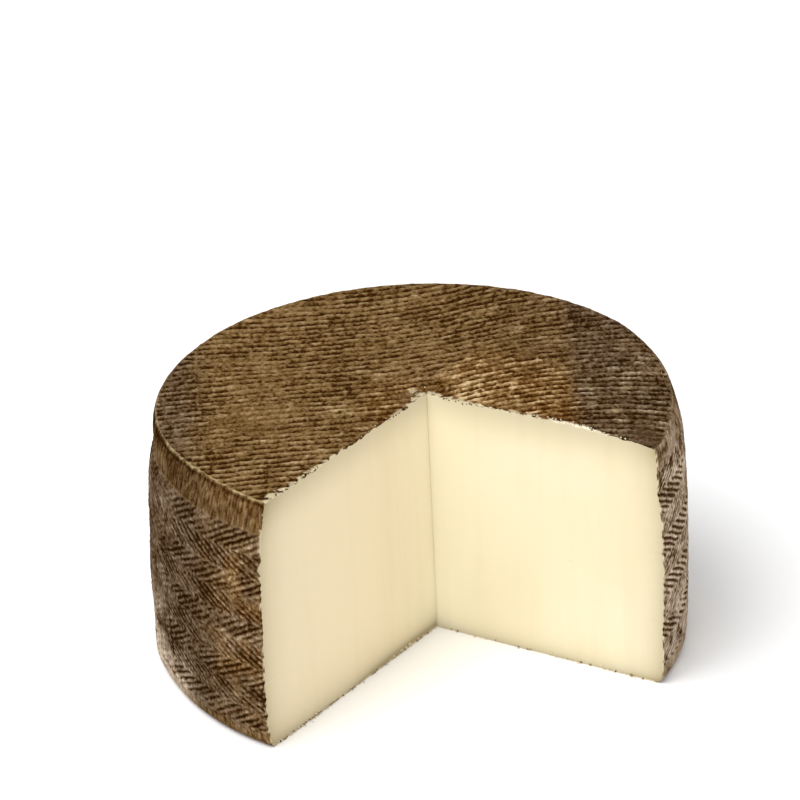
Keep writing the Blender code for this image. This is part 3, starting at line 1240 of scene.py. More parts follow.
@dataclass
class Skin:
    """A closed rind: a fine outer grid, a coarse inner one, and the walls between their outlines.

    outer, normals and outer_map are grids of the same size. inner and inner_map are the grids that
    take every stride-th line of them. keep tells the cells that the rind covers, and loop lists the
    grid places round the outline, counter-clockwise seen from outside.
    """

    outer: Array
    normals: Array
    inner: Array
    keep: Array
    loop: Array
    stride: int
    outer_map: Array
    inner_map: Array
    masks: dict[str, Array]

    def numbers(self, shape: tuple[int, int], keep: Array, first: int) -> tuple[Array, Array]:
        """Numbers a grid's vertices that a kept cell uses.

        Args:
            shape: the grid's size.
            keep: one truth value for each cell.
            first: the first number.

        Returns:
            The grid of numbers, -1 where unused, and the grid of truth values for the used ones.
        """
        used = np.zeros(shape, bool)
        for row, column in ((0, 0), (1, 0), (1, 1), (0, 1)):
            used[row : row + keep.shape[0], column : column + keep.shape[1]] |= keep
        numbers = np.full(shape, -1)
        numbers[used] = first + np.arange(used.sum())
        return numbers, used

    def build(self, name: str) -> bpy.types.Mesh:
        """Makes the closed mesh.

        A wall polygon joins one edge of the inner outline to the stretch of the outer outline over
        it. Its place in the bake map is a narrow flap along the outer grid's island.

        Args:
            name: the mesh's name.

        Returns:
            The mesh, in metres, with its masks as vertex attributes and its own smooth normals.
        """
        keep_inner = self.keep[:: self.stride, :: self.stride]
        outer_numbers, outer_used = self.numbers(self.outer.shape[:2], self.keep, 0)
        inner_numbers, inner_used = self.numbers(self.inner.shape[:2], keep_inner, int(outer_used.sum()))
        fronts = grid_quads(outer_numbers, self.keep)
        backs = grid_quads(inner_numbers, keep_inner)[:, ::-1]
        front_map = grid_quads(np.arange(outer_used.size).reshape(outer_used.shape), self.keep)
        back_map = grid_quads(np.arange(inner_used.size).reshape(inner_used.shape), keep_inner)[:, ::-1]

        fine = outer_numbers[self.loop[:, 0], self.loop[:, 1]]
        coarse_loop = self.loop[:: self.stride] // self.stride
        coarse = inner_numbers[coarse_loop[:, 0], coarse_loop[:, 1]]
        stretch = np.arange(len(coarse))[:, None] * self.stride + np.arange(self.stride, -1, -1)[None, :]
        upper = fine[stretch % len(fine)]
        walls = np.concatenate([upper, coarse[:, None], np.roll(coarse, -1)[:, None]], axis=1)
        rim_map = self.outer_map[self.loop[:, 0], self.loop[:, 1]]
        ahead = np.roll(rim_map, -2, axis=0) - np.roll(rim_map, 2, axis=0)
        ahead = ahead / np.linalg.norm(ahead, axis=1, keepdims=True)
        flap = rim_map + FLAP * np.stack([ahead[:, 1], -ahead[:, 0]], axis=1)
        flap = flap[:: self.stride]
        wall_map = np.concatenate(
            [rim_map[stretch % len(fine)], flap[:, None], np.roll(flap, -1, axis=0)[:, None]], axis=1
        )
        faces = Polygons.joined(
            [
                Polygons.of(fronts, self.outer_map.reshape(-1, 2)[front_map]),
                Polygons.of(backs, self.inner_map.reshape(-1, 2)[back_map]),
                Polygons.of(walls, wall_map),
            ]
        )
        points = np.concatenate([self.outer[outer_used], self.inner[inner_used]])
        masks = {
            key: np.concatenate([value[outer_used], np.zeros(inner_used.sum())])
            for key, value in self.masks.items()
        }
        masks["inner"] = np.concatenate([np.zeros(outer_used.sum()), np.ones(inner_used.sum())])
        smooth = self.normals.reshape(-1, 3)[front_map.ravel()]
        plain = np.zeros((len(faces.corners) - len(smooth), 3))
        return make_mesh(name, points, faces, masks, np.concatenate([smooth, plain]))


def make_mesh(
    name: str, points: Array, faces: Polygons, masks: dict[str, Array], normals: Array | None = None
) -> bpy.types.Mesh:
    """Puts arrays into a mesh.

    Args:
        name: the mesh's name.
        points: the vertices, in millimetres.
        faces: the polygons.
        masks: numbers for each vertex, by attribute name.
        normals: a normal for each polygon corner, or zeros where the polygon's own holds.

    Returns:
        The mesh, in metres.
    """
    mesh = bpy.data.meshes.new(name)
    starts = np.concatenate([[0], np.cumsum(faces.sizes)[:-1]])
    mesh.vertices.add(len(points))
    mesh.loops.add(len(faces.corners))
    mesh.polygons.add(len(faces.sizes))
    mesh.vertices.foreach_set("co", (points * MM).astype(np.float32).ravel())
    mesh.loops.foreach_set("vertex_index", faces.corners.astype(np.int32))
    mesh.polygons.foreach_set("loop_start", starts.astype(np.int32))
    mesh.polygons.foreach_set("loop_total", faces.sizes.astype(np.int32))
    layer = mesh.uv_layers.new(name=BAKE_MAP)
    layer.data.foreach_set("uv", faces.places.astype(np.float32).ravel())
    for key, value in masks.items():
        attribute = mesh.attributes.new(key, "FLOAT", "POINT")
        attribute.data.foreach_set("value", value.astype(np.float32))
    mesh.update(calc_edges=True)
    mesh.validate()
    if normals is not None:
        own = np.linalg.norm(normals[starts], axis=1) > 0
        mesh.polygons.foreach_set("use_smooth", own)
        mesh.normals_split_custom_set(normals.tolist())
    return mesh


def place(mesh: bpy.types.Mesh, material: bpy.types.Material, slot: Slot) -> bpy.types.Object:
    """Shows a mesh as a piece of the wheel.

    Args:
        mesh: the piece's mesh, whose name it takes.
        material: its finish.
        slot: the record's material slot, which is not used.

    Returns:
        The piece.
    """
    piece = bpy.data.objects.new(mesh.name, mesh)
    bpy.context.scene.collection.objects.link(piece)
    mesh.materials.append(material)
    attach(piece, BODY)
    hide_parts(NODE)
    triangles = sum(polygon.loop_total - 2 for polygon in mesh.polygons)
    log.info("%s: %d triangles", piece.name, triangles)
    return piece


# ---- Finishes --------------------------------------------------------------


@dataclass(frozen=True)
class Graph:
    """Short ways to add nodes to one node tree."""

    tree: bpy.types.NodeTree

    def add(self, kind: str, feeds: dict | None = None, **settings: object) -> bpy.types.Node:
        """Adds a node.

        Args:
            kind: the node's type.
            feeds: outputs, numbers or colours for its inputs, by name or number.
            settings: its properties by name.

        Returns:
            The node.
        """
        node = self.tree.nodes.new(kind)
        for key, value in settings.items():
            setattr(node, key, value)
        for key, value in (feeds or {}).items():
            self.feed(node.inputs[key], value)
        return node

    def feed(self, socket: bpy.types.NodeSocket, value: object) -> None:
        """Links a socket to another, or sets it to a number or a colour.

        Args:
            socket: the input.
            value: an output, a number or a colour.
        """
        if isinstance(value, bpy.types.NodeSocket):
            self.tree.links.new(value, socket)
        elif isinstance(value, tuple) and socket.type == "RGBA":
            socket.default_value = (*value, 1.0)
        else:
            socket.default_value = value

    def mask(self, name: str) -> bpy.types.NodeSocket:
        """Reads a vertex attribute of the piece."""
        return self.add("ShaderNodeAttribute", attribute_name=name).outputs["Fac"]

    def here(self) -> bpy.types.NodeSocket:
        """Reads the place on the piece, in metres."""
        return self.add("ShaderNodeTexCoord").outputs["Object"]

    def math(self, operation: str, *values: object, clamp: bool = False) -> bpy.types.NodeSocket:
        """Works out a Math node's result, kept from 0 to 1 where clamp says so."""
        feeds = dict(enumerate(values))
        return self.add("ShaderNodeMath", feeds, operation=operation, use_clamp=clamp).outputs[0]

    def step(self, value: object, low: float, high: float, *ends: float) -> bpy.types.NodeSocket:
        """Maps a value smoothly from low and high to the two ends, which are 0 and 1 unless given."""
        feeds = dict(enumerate((value, low, high, *ends)))
        return self.add("ShaderNodeMapRange", feeds, interpolation_type="SMOOTHSTEP").outputs[0]

    def blend(self, share: object, first: object, second: object) -> bpy.types.NodeSocket:
        """Mixes two colours, by the share of the second one."""
        feeds = {"Factor": share, MIX_FIRST: first, MIX_SECOND: second}
        return self.add("ShaderNodeMix", feeds, data_type="RGBA").outputs[MIX_RESULT]

    def noise(self, vector: object, scale: object, detail: float = 3.0) -> bpy.types.NodeSocket:
        """Makes a noise from 0 to 1, with so many bumps to a metre and octaves of detail."""
        feeds = {"Vector": vector, "Scale": scale, "Detail": detail}
        return self.add("ShaderNodeTexNoise", feeds).outputs["Fac"]

    def upright(self, vector: object, squeeze: float) -> bpy.types.NodeSocket:
        """Squeezes coordinates along Z, so that a noise on them makes upright streaks."""
        return self.add("ShaderNodeMapping", {"Vector": vector, "Scale": (1.0, 1.0, squeeze)}).outputs[0]

    def ramp(self, value: object, stops: tuple[Stop, ...]) -> bpy.types.NodeSocket:
        """Turns a value from 0 to 1 into a colour.

        Args:
            value: the value.
            stops: the ramp's places and colours.

        Returns:
            The colour.
        """
        node = self.add("ShaderNodeValToRGB", {"Fac": value})
        elements = node.color_ramp.elements
        while len(elements) < len(stops):
            elements.new(0.5)
        for element, (position, colour) in zip(elements, stops):
            element.position = position
            element.color = (*colour, 1.0)
        return node.outputs["Color"]


def new_material(name: str) -> tuple[bpy.types.Material, Graph, bpy.types.Node]:
    """Makes a material with a bare Principled shader.

    Args:
        name: the material's name.

    Returns:
        The material, its graph and the shader.
    """
    material = bpy.data.materials.new(name)
    material.use_nodes = True
    graph = Graph(material.node_tree)
    return material, graph, material.node_tree.nodes["Principled BSDF"]


def grain_group() -> bpy.types.NodeTree:
    """The fine grain that rind and paste share.

    Two noises a factor of four apart are summed into a height, and the finer one, sharpened by the
    contrast, is a mask of specks.

    Returns:
        The node group, with inputs Vector, Scale and Contrast, and outputs Height and Specks.
    """
    tree = bpy.data.node_groups.new("fine_grain", "ShaderNodeTree")
    tree.interface.new_socket("Vector", in_out="INPUT", socket_type="NodeSocketVector")
    for name in ("Scale", "Contrast"):
        tree.interface.new_socket(name, in_out="INPUT", socket_type="NodeSocketFloat")
    for name in ("Height", "Specks"):
        tree.interface.new_socket(name, in_out="OUTPUT", socket_type="NodeSocketFloat")
    graph = Graph(tree)
    given = graph.add("NodeGroupInput")
    coarse = graph.noise(given.outputs["Vector"], given.outputs["Scale"])
    finer = graph.math("MULTIPLY", given.outputs["Scale"], 4.0)
    fine = graph.noise(given.outputs["Vector"], finer, 2.0)
    height = graph.math("MULTIPLY_ADD", fine, 0.45, graph.math("MULTIPLY", coarse, 0.55))
    centred = graph.math("SUBTRACT", fine, 0.5)
    specks = graph.math("MULTIPLY_ADD", centred, given.outputs["Contrast"], 0.5, clamp=True)
    graph.add("NodeGroupOutput", {"Height": height, "Specks": specks})
    return tree


@dataclass(frozen=True)
class Surface:
    """How a finish takes the light: its fine grain and the range of its roughness, and its gloss."""

    grain_scale: float
    grain_contrast: float
    smoothest: float
    roughest: float
    gloss: float
    bump: float
    bump_distance: float

    def dress(self, graph: Graph, shader: bpy.types.Node, group: bpy.types.NodeTree) -> bpy.types.Node:
        """Places the grain in a material and feeds its height to the roughness and to a bump.

        Args:
            graph: the material's graph.
            shader: its shader.
            group: the node group of the grain.

        Returns:
            The grain's node.
        """
        feeds = {"Vector": graph.here(), "Scale": self.grain_scale, "Contrast": self.grain_contrast}
        grain = graph.add("ShaderNodeGroup", node_tree=group)
        for name, value in feeds.items():
            graph.feed(grain.inputs[name], value)
        height = grain.outputs["Height"]
        rough = graph.step(height, 0.3, 0.7, self.smoothest, self.roughest)
        graph.feed(shader.inputs["Roughness"], rough)
        feeds = {"Strength": self.bump, "Distance": self.bump_distance, "Height": height}
        graph.feed(shader.inputs["Normal"], graph.add("ShaderNodeBump", feeds).outputs["Normal"])
        shader.inputs["Specular IOR Level"].default_value = self.gloss
        return grain


@dataclass(frozen=True)
class RindFinish:
    """The dry brown rind. Colours are linear, and a zone's ramp runs from its grooves to its crests."""

    grain: bpy.types.NodeTree
    plain: tuple[Stop, ...] = (
        (0.00, (0.024, 0.0085, 0.0015)),
        (0.12, (0.052, 0.022, 0.0040)),
        (0.35, (0.119, 0.068, 0.0230)),
        (0.50, (0.166, 0.100, 0.0400)),
        (0.65, (0.209, 0.132, 0.0590)),
        (0.88, (0.289, 0.198, 0.1020)),
        (1.00, (0.400, 0.290, 0.1650)),
    )
    warm: tuple[Stop, ...] = (
        (0.00, (0.030, 0.0100, 0.0012)),
        (0.12, (0.060, 0.0200, 0.0020)),
        (0.35, (0.118, 0.0560, 0.0150)),
        (0.50, (0.180, 0.0960, 0.0330)),
        (0.65, (0.255, 0.1500, 0.0600)),
        (0.88, (0.430, 0.2900, 0.1450)),
        (1.00, (0.560, 0.4100, 0.2300)),
    )
    ash: tuple[Stop, ...] = (
        (0.00, (0.014, 0.0050, 0.0010)),
        (0.12, (0.028, 0.0120, 0.0028)),
        (0.35, (0.075, 0.0430, 0.0210)),
        (0.50, (0.109, 0.0715, 0.0420)),
        (0.65, (0.146, 0.1010, 0.0630)),
        (0.88, (0.255, 0.1920, 0.1340)),
        (1.00, (0.350, 0.2780, 0.2080)),
    )
    # painted light: this pale ramp lights the right of the side, and is real dust at the foot round the
    # left
    dust_and_painted_light: tuple[Stop, ...] = (
        (0.00, (0.055, 0.0250, 0.0090)),
        (0.12, (0.120, 0.0620, 0.0250)),
        (0.35, (0.310, 0.2170, 0.1340)),
        (0.50, (0.445, 0.3380, 0.2400)),
        (0.65, (0.580, 0.4650, 0.3480)),
        (0.88, (0.790, 0.6600, 0.5200)),
        (1.00, (0.860, 0.7350, 0.6000)),
    )
    rubbed: Colour = (0.490, 0.390, 0.200)
    bare: Colour = (0.480, 0.400, 0.260)
    chalk: Colour = (0.860, 0.780, 0.650)
    sliced: Colour = (0.700, 0.600, 0.390)
    surface: Surface = Surface(620.0, 3.6, 0.52, 0.74, 0.0, 0.45, 0.0003)
    mottle_scale: float = 850.0
    streak_scale: float = 900.0
    streak_squeeze: float = 0.11
    speckled: float = 0.16

    def build(self, name: str) -> bpy.types.Material:
        """Makes the material.

        The tone of the relief and a noise, isotropic or upright where the mask streak says so, run
        through the ramps of the zones. Rubbed and torn places show paler rind and bare paste. A wall
        keeps the torn share of its outer edge, as torn / (1 - inner), and shows sliced paste there,
        and the inside of the rind is sliced paste all over.

        Args:
            name: the material's name.

        Returns:
            The material.
        """
        material, graph, shader = new_material(name)
        here = graph.here()
        grain = self.surface.dress(graph, shader, self.grain)
        mottle = graph.math("SUBTRACT", graph.noise(here, self.mottle_scale), 0.5)
        upright = graph.noise(graph.upright(here, self.streak_squeeze), self.streak_scale)
        streak = graph.mask("streak")
        own = graph.math("MULTIPLY", mottle, graph.step(streak, 0.0, 1.0, 1.0, 0.25))
        upright = graph.math("SUBTRACT", upright, 0.5)
        lines = graph.math("MULTIPLY", upright, graph.step(streak, 0.0, 1.0, 0.0, 1.40))
        tone = graph.math("ADD", graph.mask("tone"), graph.math("ADD", own, lines))
        specks = graph.math("SUBTRACT", grain.outputs["Specks"], 0.5)
        tone = graph.math("MULTIPLY_ADD", specks, self.speckled, tone, clamp=True)
        colour = graph.ramp(tone, self.plain)
        # the last ramp is painted light on the right of the side, and real dust at its foot
        for mask, stops in (("ash", self.ash), ("warm", self.warm), ("dust_and_painted_light", self.dust_and_painted_light)):
            colour = graph.blend(graph.mask(mask), colour, graph.ramp(tone, stops))
        colour = graph.blend(graph.math("MULTIPLY", graph.mask("wear"), 0.9), colour, self.rubbed)
        inner = graph.mask("inner")
        paste = graph.blend(graph.mask("chalk"), self.bare, self.chalk)
        paste = graph.blend(graph.step(inner, 0.0, 0.10), paste, self.sliced)
        left_over = graph.math("MAXIMUM", graph.math("SUBTRACT", 1.0, inner), 0.1)
        torn = graph.math("DIVIDE", graph.mask("torn"), left_over, clamp=True)
        bared = graph.math("MAXIMUM", torn, graph.step(inner, 0.85, 1.0))
        colour = graph.blend(bared, colour, paste)
        graph.feed(shader.inputs["Base Color"], colour)
        return material


@dataclass(frozen=True)
class PasteFinish:
    """The pale paste that the knife laid bare. Colours are linear."""

    grain: bpy.types.NodeTree
    cream: Colour = (0.790, 0.695, 0.475)
    ivory: Colour = (0.815, 0.732, 0.520)
    blush: Colour = (0.820, 0.697, 0.480)
    # painted light: a paler cream that lightens the paste round the corner of the cut
    painted_corner_light: Colour = (0.900, 0.830, 0.600)
    ripe: Colour = (0.370, 0.300, 0.165)
    # painted shade: the thin brown line in the crease where the cut faces meet
    seam: Colour = (0.430, 0.290, 0.130)
    surface: Surface = Surface(260.0, 2.0, 0.46, 0.62, 0.30, 0.25, 0.0002)
    drift_scale: float = 16.0
    streak_scale: float = 150.0
    streak_squeeze: float = 0.06
    glow: float = 0.12  # light that scatters under the surface
    glow_colour: Colour = (1.0, 0.7, 0.35)
    glow_depth: float = 0.004

    def build(self, name: str) -> bpy.types.Material:
        """Makes the material.

        Ivory and cream drift into each other, the left face blushes, painted light pales the
        corner, faint upright streaks follow the knife, the paste ripens towards the rind, and a thin
        brown line of painted shade lies in the crease at the corner of the cut.

        Args:
            name: the material's name.

        Returns:
            The material.
        """
        material, graph, shader = new_material(name)
        here = graph.here()
        self.surface.dress(graph, shader, self.grain)
        drift = graph.noise(here, self.drift_scale)
        streak = graph.noise(graph.upright(here, self.streak_squeeze), self.streak_scale)
        colour = graph.blend(graph.step(drift, 0.35, 0.65), self.cream, self.ivory)
        colour = graph.blend(graph.mask("blush"), colour, self.blush)
        # painted light round the corner of the cut
        colour = graph.blend(graph.math("MULTIPLY", graph.mask("painted_corner_light"), 0.5), colour, self.painted_corner_light)
        colour = graph.blend(graph.step(streak, 0.45, 0.75, 0.0, 0.05), colour, self.ripe)
        ripeness = graph.math("MULTIPLY", graph.mask("ripe"), graph.step(drift, 0.2, 0.8, 0.92, 1.08))
        colour = graph.blend(ripeness, colour, self.ripe)
        # painted shade in the crease at the corner of the cut
        colour = graph.blend(graph.mask("seam"), colour, self.seam)
        graph.feed(shader.inputs["Base Color"], colour)
        shader.inputs["Subsurface Weight"].default_value = self.glow
        shader.inputs["Subsurface Radius"].default_value = self.glow_colour
        shader.inputs["Subsurface Scale"].default_value = self.glow_depth
        return material


# ---- The wheel's pieces ----------------------------------------------------


@dataclass(frozen=True)
class EndRind:
    """The ribbed rind of one end: a sheet over the three quarters of a disc that the cut left."""

    wheel: Wheel
    end: End
    steps: int = 168
    stride: int = 8
    thickness: float = 2.0
    nudge: float = 0.05  # the slope is taken over this distance on both sides
    outer_scale: float = 0.00462  # bake map, to a millimetre
    inner_scale: float = 0.0021
    inner_middle: tuple[float, float] = (0.745, 0.255)

    def sheet(self, steps: int) -> tuple[Array, Array]:
        """Lays a square grid over the end.

        The square from -1 to 1 becomes a disc by x = a*sqrt(1 - b*b/2), y = b*sqrt(1 - a*a/2). Its
        lower right quarter is the cut's, and the other three turn by a share of their angle.

        Args:
            steps: cells from the middle of the square to its side.

        Returns:
            The share of the turn and the part of the way from the corner to the edge.
        """
        line = np.arange(-steps, steps + 1) / steps
        first, second = np.meshgrid(line, line, indexing="ij")
        x, y = first * np.sqrt(1 - second**2 / 2), second * np.sqrt(1 - first**2 / 2)
        share = np.mod(np.arctan2(y, x) + 1e-12, 2 * math.pi) / (1.5 * math.pi)
        share[steps + 1 :, steps] = 0.0
        return np.minimum(share, 1.0), np.hypot(x, y)

    def face_height(self, x: Array, y: Array) -> Array:
        """The end's height above the floor, with its relief."""
        rise = PressedRibs(self.wheel, self.end).at(x, y).rise
        return self.wheel.height + rise if self.end is End.TOP else -rise

    def edge_radius(self, share: Array) -> Array:
        """The radius at which this end meets the side, at a share of the turn."""
        return self.wheel.end_radius(self.end, self.wheel.rim_turn(share))

    def build(self, finish: bpy.types.Material) -> bpy.types.Object:
        """Makes the rind of this end.

        The height of the relief moves the sheet up or down, and the slopes of that height, taken
        over a short distance, give the normals. The inner grid is plain and every stride-th line.

        Args:
            finish: the rind's material.

        Returns:
            The piece.
        """
        wheel, steps, stride, nudge = self.wheel, self.steps, self.stride, self.nudge
        share, part = self.sheet(steps)
        x, y = wheel.plan(share, self.edge_radius(share), part)
        slope_x = (self.face_height(x + nudge, y) - self.face_height(x - nudge, y)) / (2 * nudge)
        slope_y = (self.face_height(x, y + nudge) - self.face_height(x, y - nudge)) / (2 * nudge)
        normals = np.stack([-slope_x, -slope_y, np.ones_like(x)], axis=-1) * self.end.value
        normals /= np.linalg.norm(normals, axis=-1, keepdims=True)
        outer = np.stack([x, y, self.face_height(x, y)], axis=-1)

        coarse = np.s_[::stride, ::stride]
        edge = self.edge_radius(share[coarse]) - self.thickness
        inner_x, inner_y = wheel.plan(share[coarse], edge, part[coarse])
        level = np.full_like(inner_x, self.thickness)
        if self.end is End.TOP:
            level = wheel.height - self.thickness + np.minimum(wheel.crown(inner_x, inner_y), 0.0)
        inner = np.stack([inner_x, inner_y, level], axis=-1)

        keep = np.ones((2 * steps, 2 * steps), bool)
        keep[steps:, :steps] = False
        skin = Skin(
            outer=outer,
            normals=normals,
            inner=inner,
            keep=keep,
            loop=self.outline(),
            stride=stride,
            outer_map=0.5 + outer[..., :2] * self.outer_scale,
            inner_map=np.array(self.inner_middle) + inner[..., :2] * self.inner_scale,
            masks=PressedRibs(wheel, self.end).at(x, y).masks(),
        )
        if self.end is End.BASE:
            skin = self.turned_over(skin)
        return place(skin.build(f"rind_{self.end.name.lower()}"), finish, Slot.RIND)

    def outline(self) -> Array:
        """Lists the grid places round the sheet.

        Returns:
            Rows and columns, counter-clockwise from the corner along the right cut face.
        """
        steps = self.steps
        stops = [(0, 0), (1, 0), (1, 1), (-1, 1), (-1, -1), (0, -1), (0, 0)]
        sides = []
        for (a, b), (c, d) in zip(stops[:-1], stops[1:]):
            count = steps * max(abs(c - a), abs(d - b))
            run = np.arange(count)[:, None] / count
            sides.append(np.array([a, b]) + run * np.array([c - a, d - b]))
        return np.round((np.concatenate(sides) + 1) * steps).astype(int)

    def turned_over(self, skin: Skin) -> Skin:
        """Swaps the two axes of a sheet's grids, so that its faces look down.

        Args:
            skin: the sheet.

        Returns:
            The same sheet, changed.
        """
        for name in ("outer", "normals", "inner", "keep", "outer_map", "inner_map"):
            setattr(skin, name, np.swapaxes(getattr(skin, name), 0, 1))
        skin.masks = {key: value.T for key, value in skin.masks.items()}
        skin.loop = skin.loop[::-1, ::-1]
        skin.loop = np.roll(skin.loop, 1, axis=0)
        return skin


@dataclass(frozen=True)
class SideRind:
    """The plaited rind of the side, in three sectors that meet edge to edge."""

    wheel: Wheel
    columns: int = 168
    rows: int = 232
    stride: int = 8
    thickness: float = 2.0
    foot: Span = (0.0, 2.5)  # the relief fades in over this height
    outer_box: Box = (0.02, 0.36, 0.96, 0.62)
    inner_box: Box = (0.02, 0.02, 0.96, 0.30)

    def shares(self) -> Array:
        """The share of the turn of each column: those of the vertices round the end's sheet.

        Returns:
            Numbers from 0 to 1.
        """
        half = np.arcsin(np.arange(self.columns + 1) / self.columns / math.sqrt(2))
        quarter = np.concatenate([half, (math.pi / 2 - half)[-2::-1]])
        turns = [quarter[:-1] + number * math.pi / 2 for number in range(3)]
        return np.concatenate([*turns, [1.5 * math.pi]]) / (1.5 * math.pi)

    def build(self, finish: bpy.types.Material) -> list[bpy.types.Object]:
        """Makes the three sectors.

        A column of the grid runs up the barrel at its share of the turn, from the floor to the rim.
        The relief moves each vertex along the line from the corner of the cut, so that the first
        and the last column stay in the cut faces.

        Args:
            finish: the rind's material.

        Returns:
            The pieces.
        """
        wheel = self.wheel
        share, level = np.meshgrid(self.shares(), np.arange(self.rows + 1) / self.rows, indexing="ij")
        turn = wheel.rim_turn(share)
        rim = wheel.rim_height(turn)
        z = rim * level
        radius = wheel.side_radius(z, turn)
        relief = PlaitedBand(wheel).at(wheel.turn(*wheel.plan(share, radius)), z)
        lip = wheel.lip_round * np.exp(-(rim - z) / wheel.lip_reach)
        x, y = wheel.plan(share, radius - lip + relief.rise * ease(*self.foot, z))
        outer = np.stack([x, y, z], axis=-1)
        normals = grid_normals(outer)
        masks = relief.masks()

        inner_z = self.thickness + z * (wheel.height - 2 * self.thickness) / wheel.height
        inner_x, inner_y = wheel.plan(share, radius - self.thickness)
        inner = np.stack([inner_x, inner_y, inner_z], axis=-1)
        pieces = []
        for number in range(3):
            part = np.s_[number * 2 * self.columns : (number + 1) * 2 * self.columns + 1]
            own = {key: value[part] for key, value in masks.items()}
            skin = self.sector(outer[part], normals[part], inner[part], own)
            pieces.append(place(skin.build(f"rind_side_{number + 1}"), finish, Slot.RIND))
        return pieces

    def sector(self, outer: Array, normals: Array, inner: Array, masks: dict[str, Array]) -> Skin:
        """Makes the skin of one sector from its part of the grids.

        Args:
            outer: the outer grid.
            normals: the outer grid's normals.
            inner: the inner grid at the outer grid's fineness.
            masks: the outer grid's masks.

        Returns:
            The skin.
        """
        wide, tall = outer.shape[0] - 1, outer.shape[1] - 1
        across, up = np.arange(wide + 1) / wide, np.arange(tall + 1) / tall
        across, up = np.meshgrid(across, up, indexing="ij")
        bottom = np.stack([np.arange(wide), np.zeros(wide, int)], axis=1)
        right = np.stack([np.full(tall, wide), np.arange(tall)], axis=1)
        top = np.stack([np.arange(wide, 0, -1), np.full(wide, tall)], axis=1)
        left = np.stack([np.zeros(tall, int), np.arange(tall, 0, -1)], axis=1)
        coarse = np.s_[:: self.stride, :: self.stride]
        return Skin(
            outer=outer,
            normals=normals,
            inner=inner[coarse],
            keep=np.ones((wide, tall), bool),
            loop=np.concatenate([bottom, right, top, left]),
            stride=self.stride,
            outer_map=in_box(self.outer_box, across, up),
            inner_map=in_box(self.inner_box, across, up)[coarse],
            masks=masks,
        )


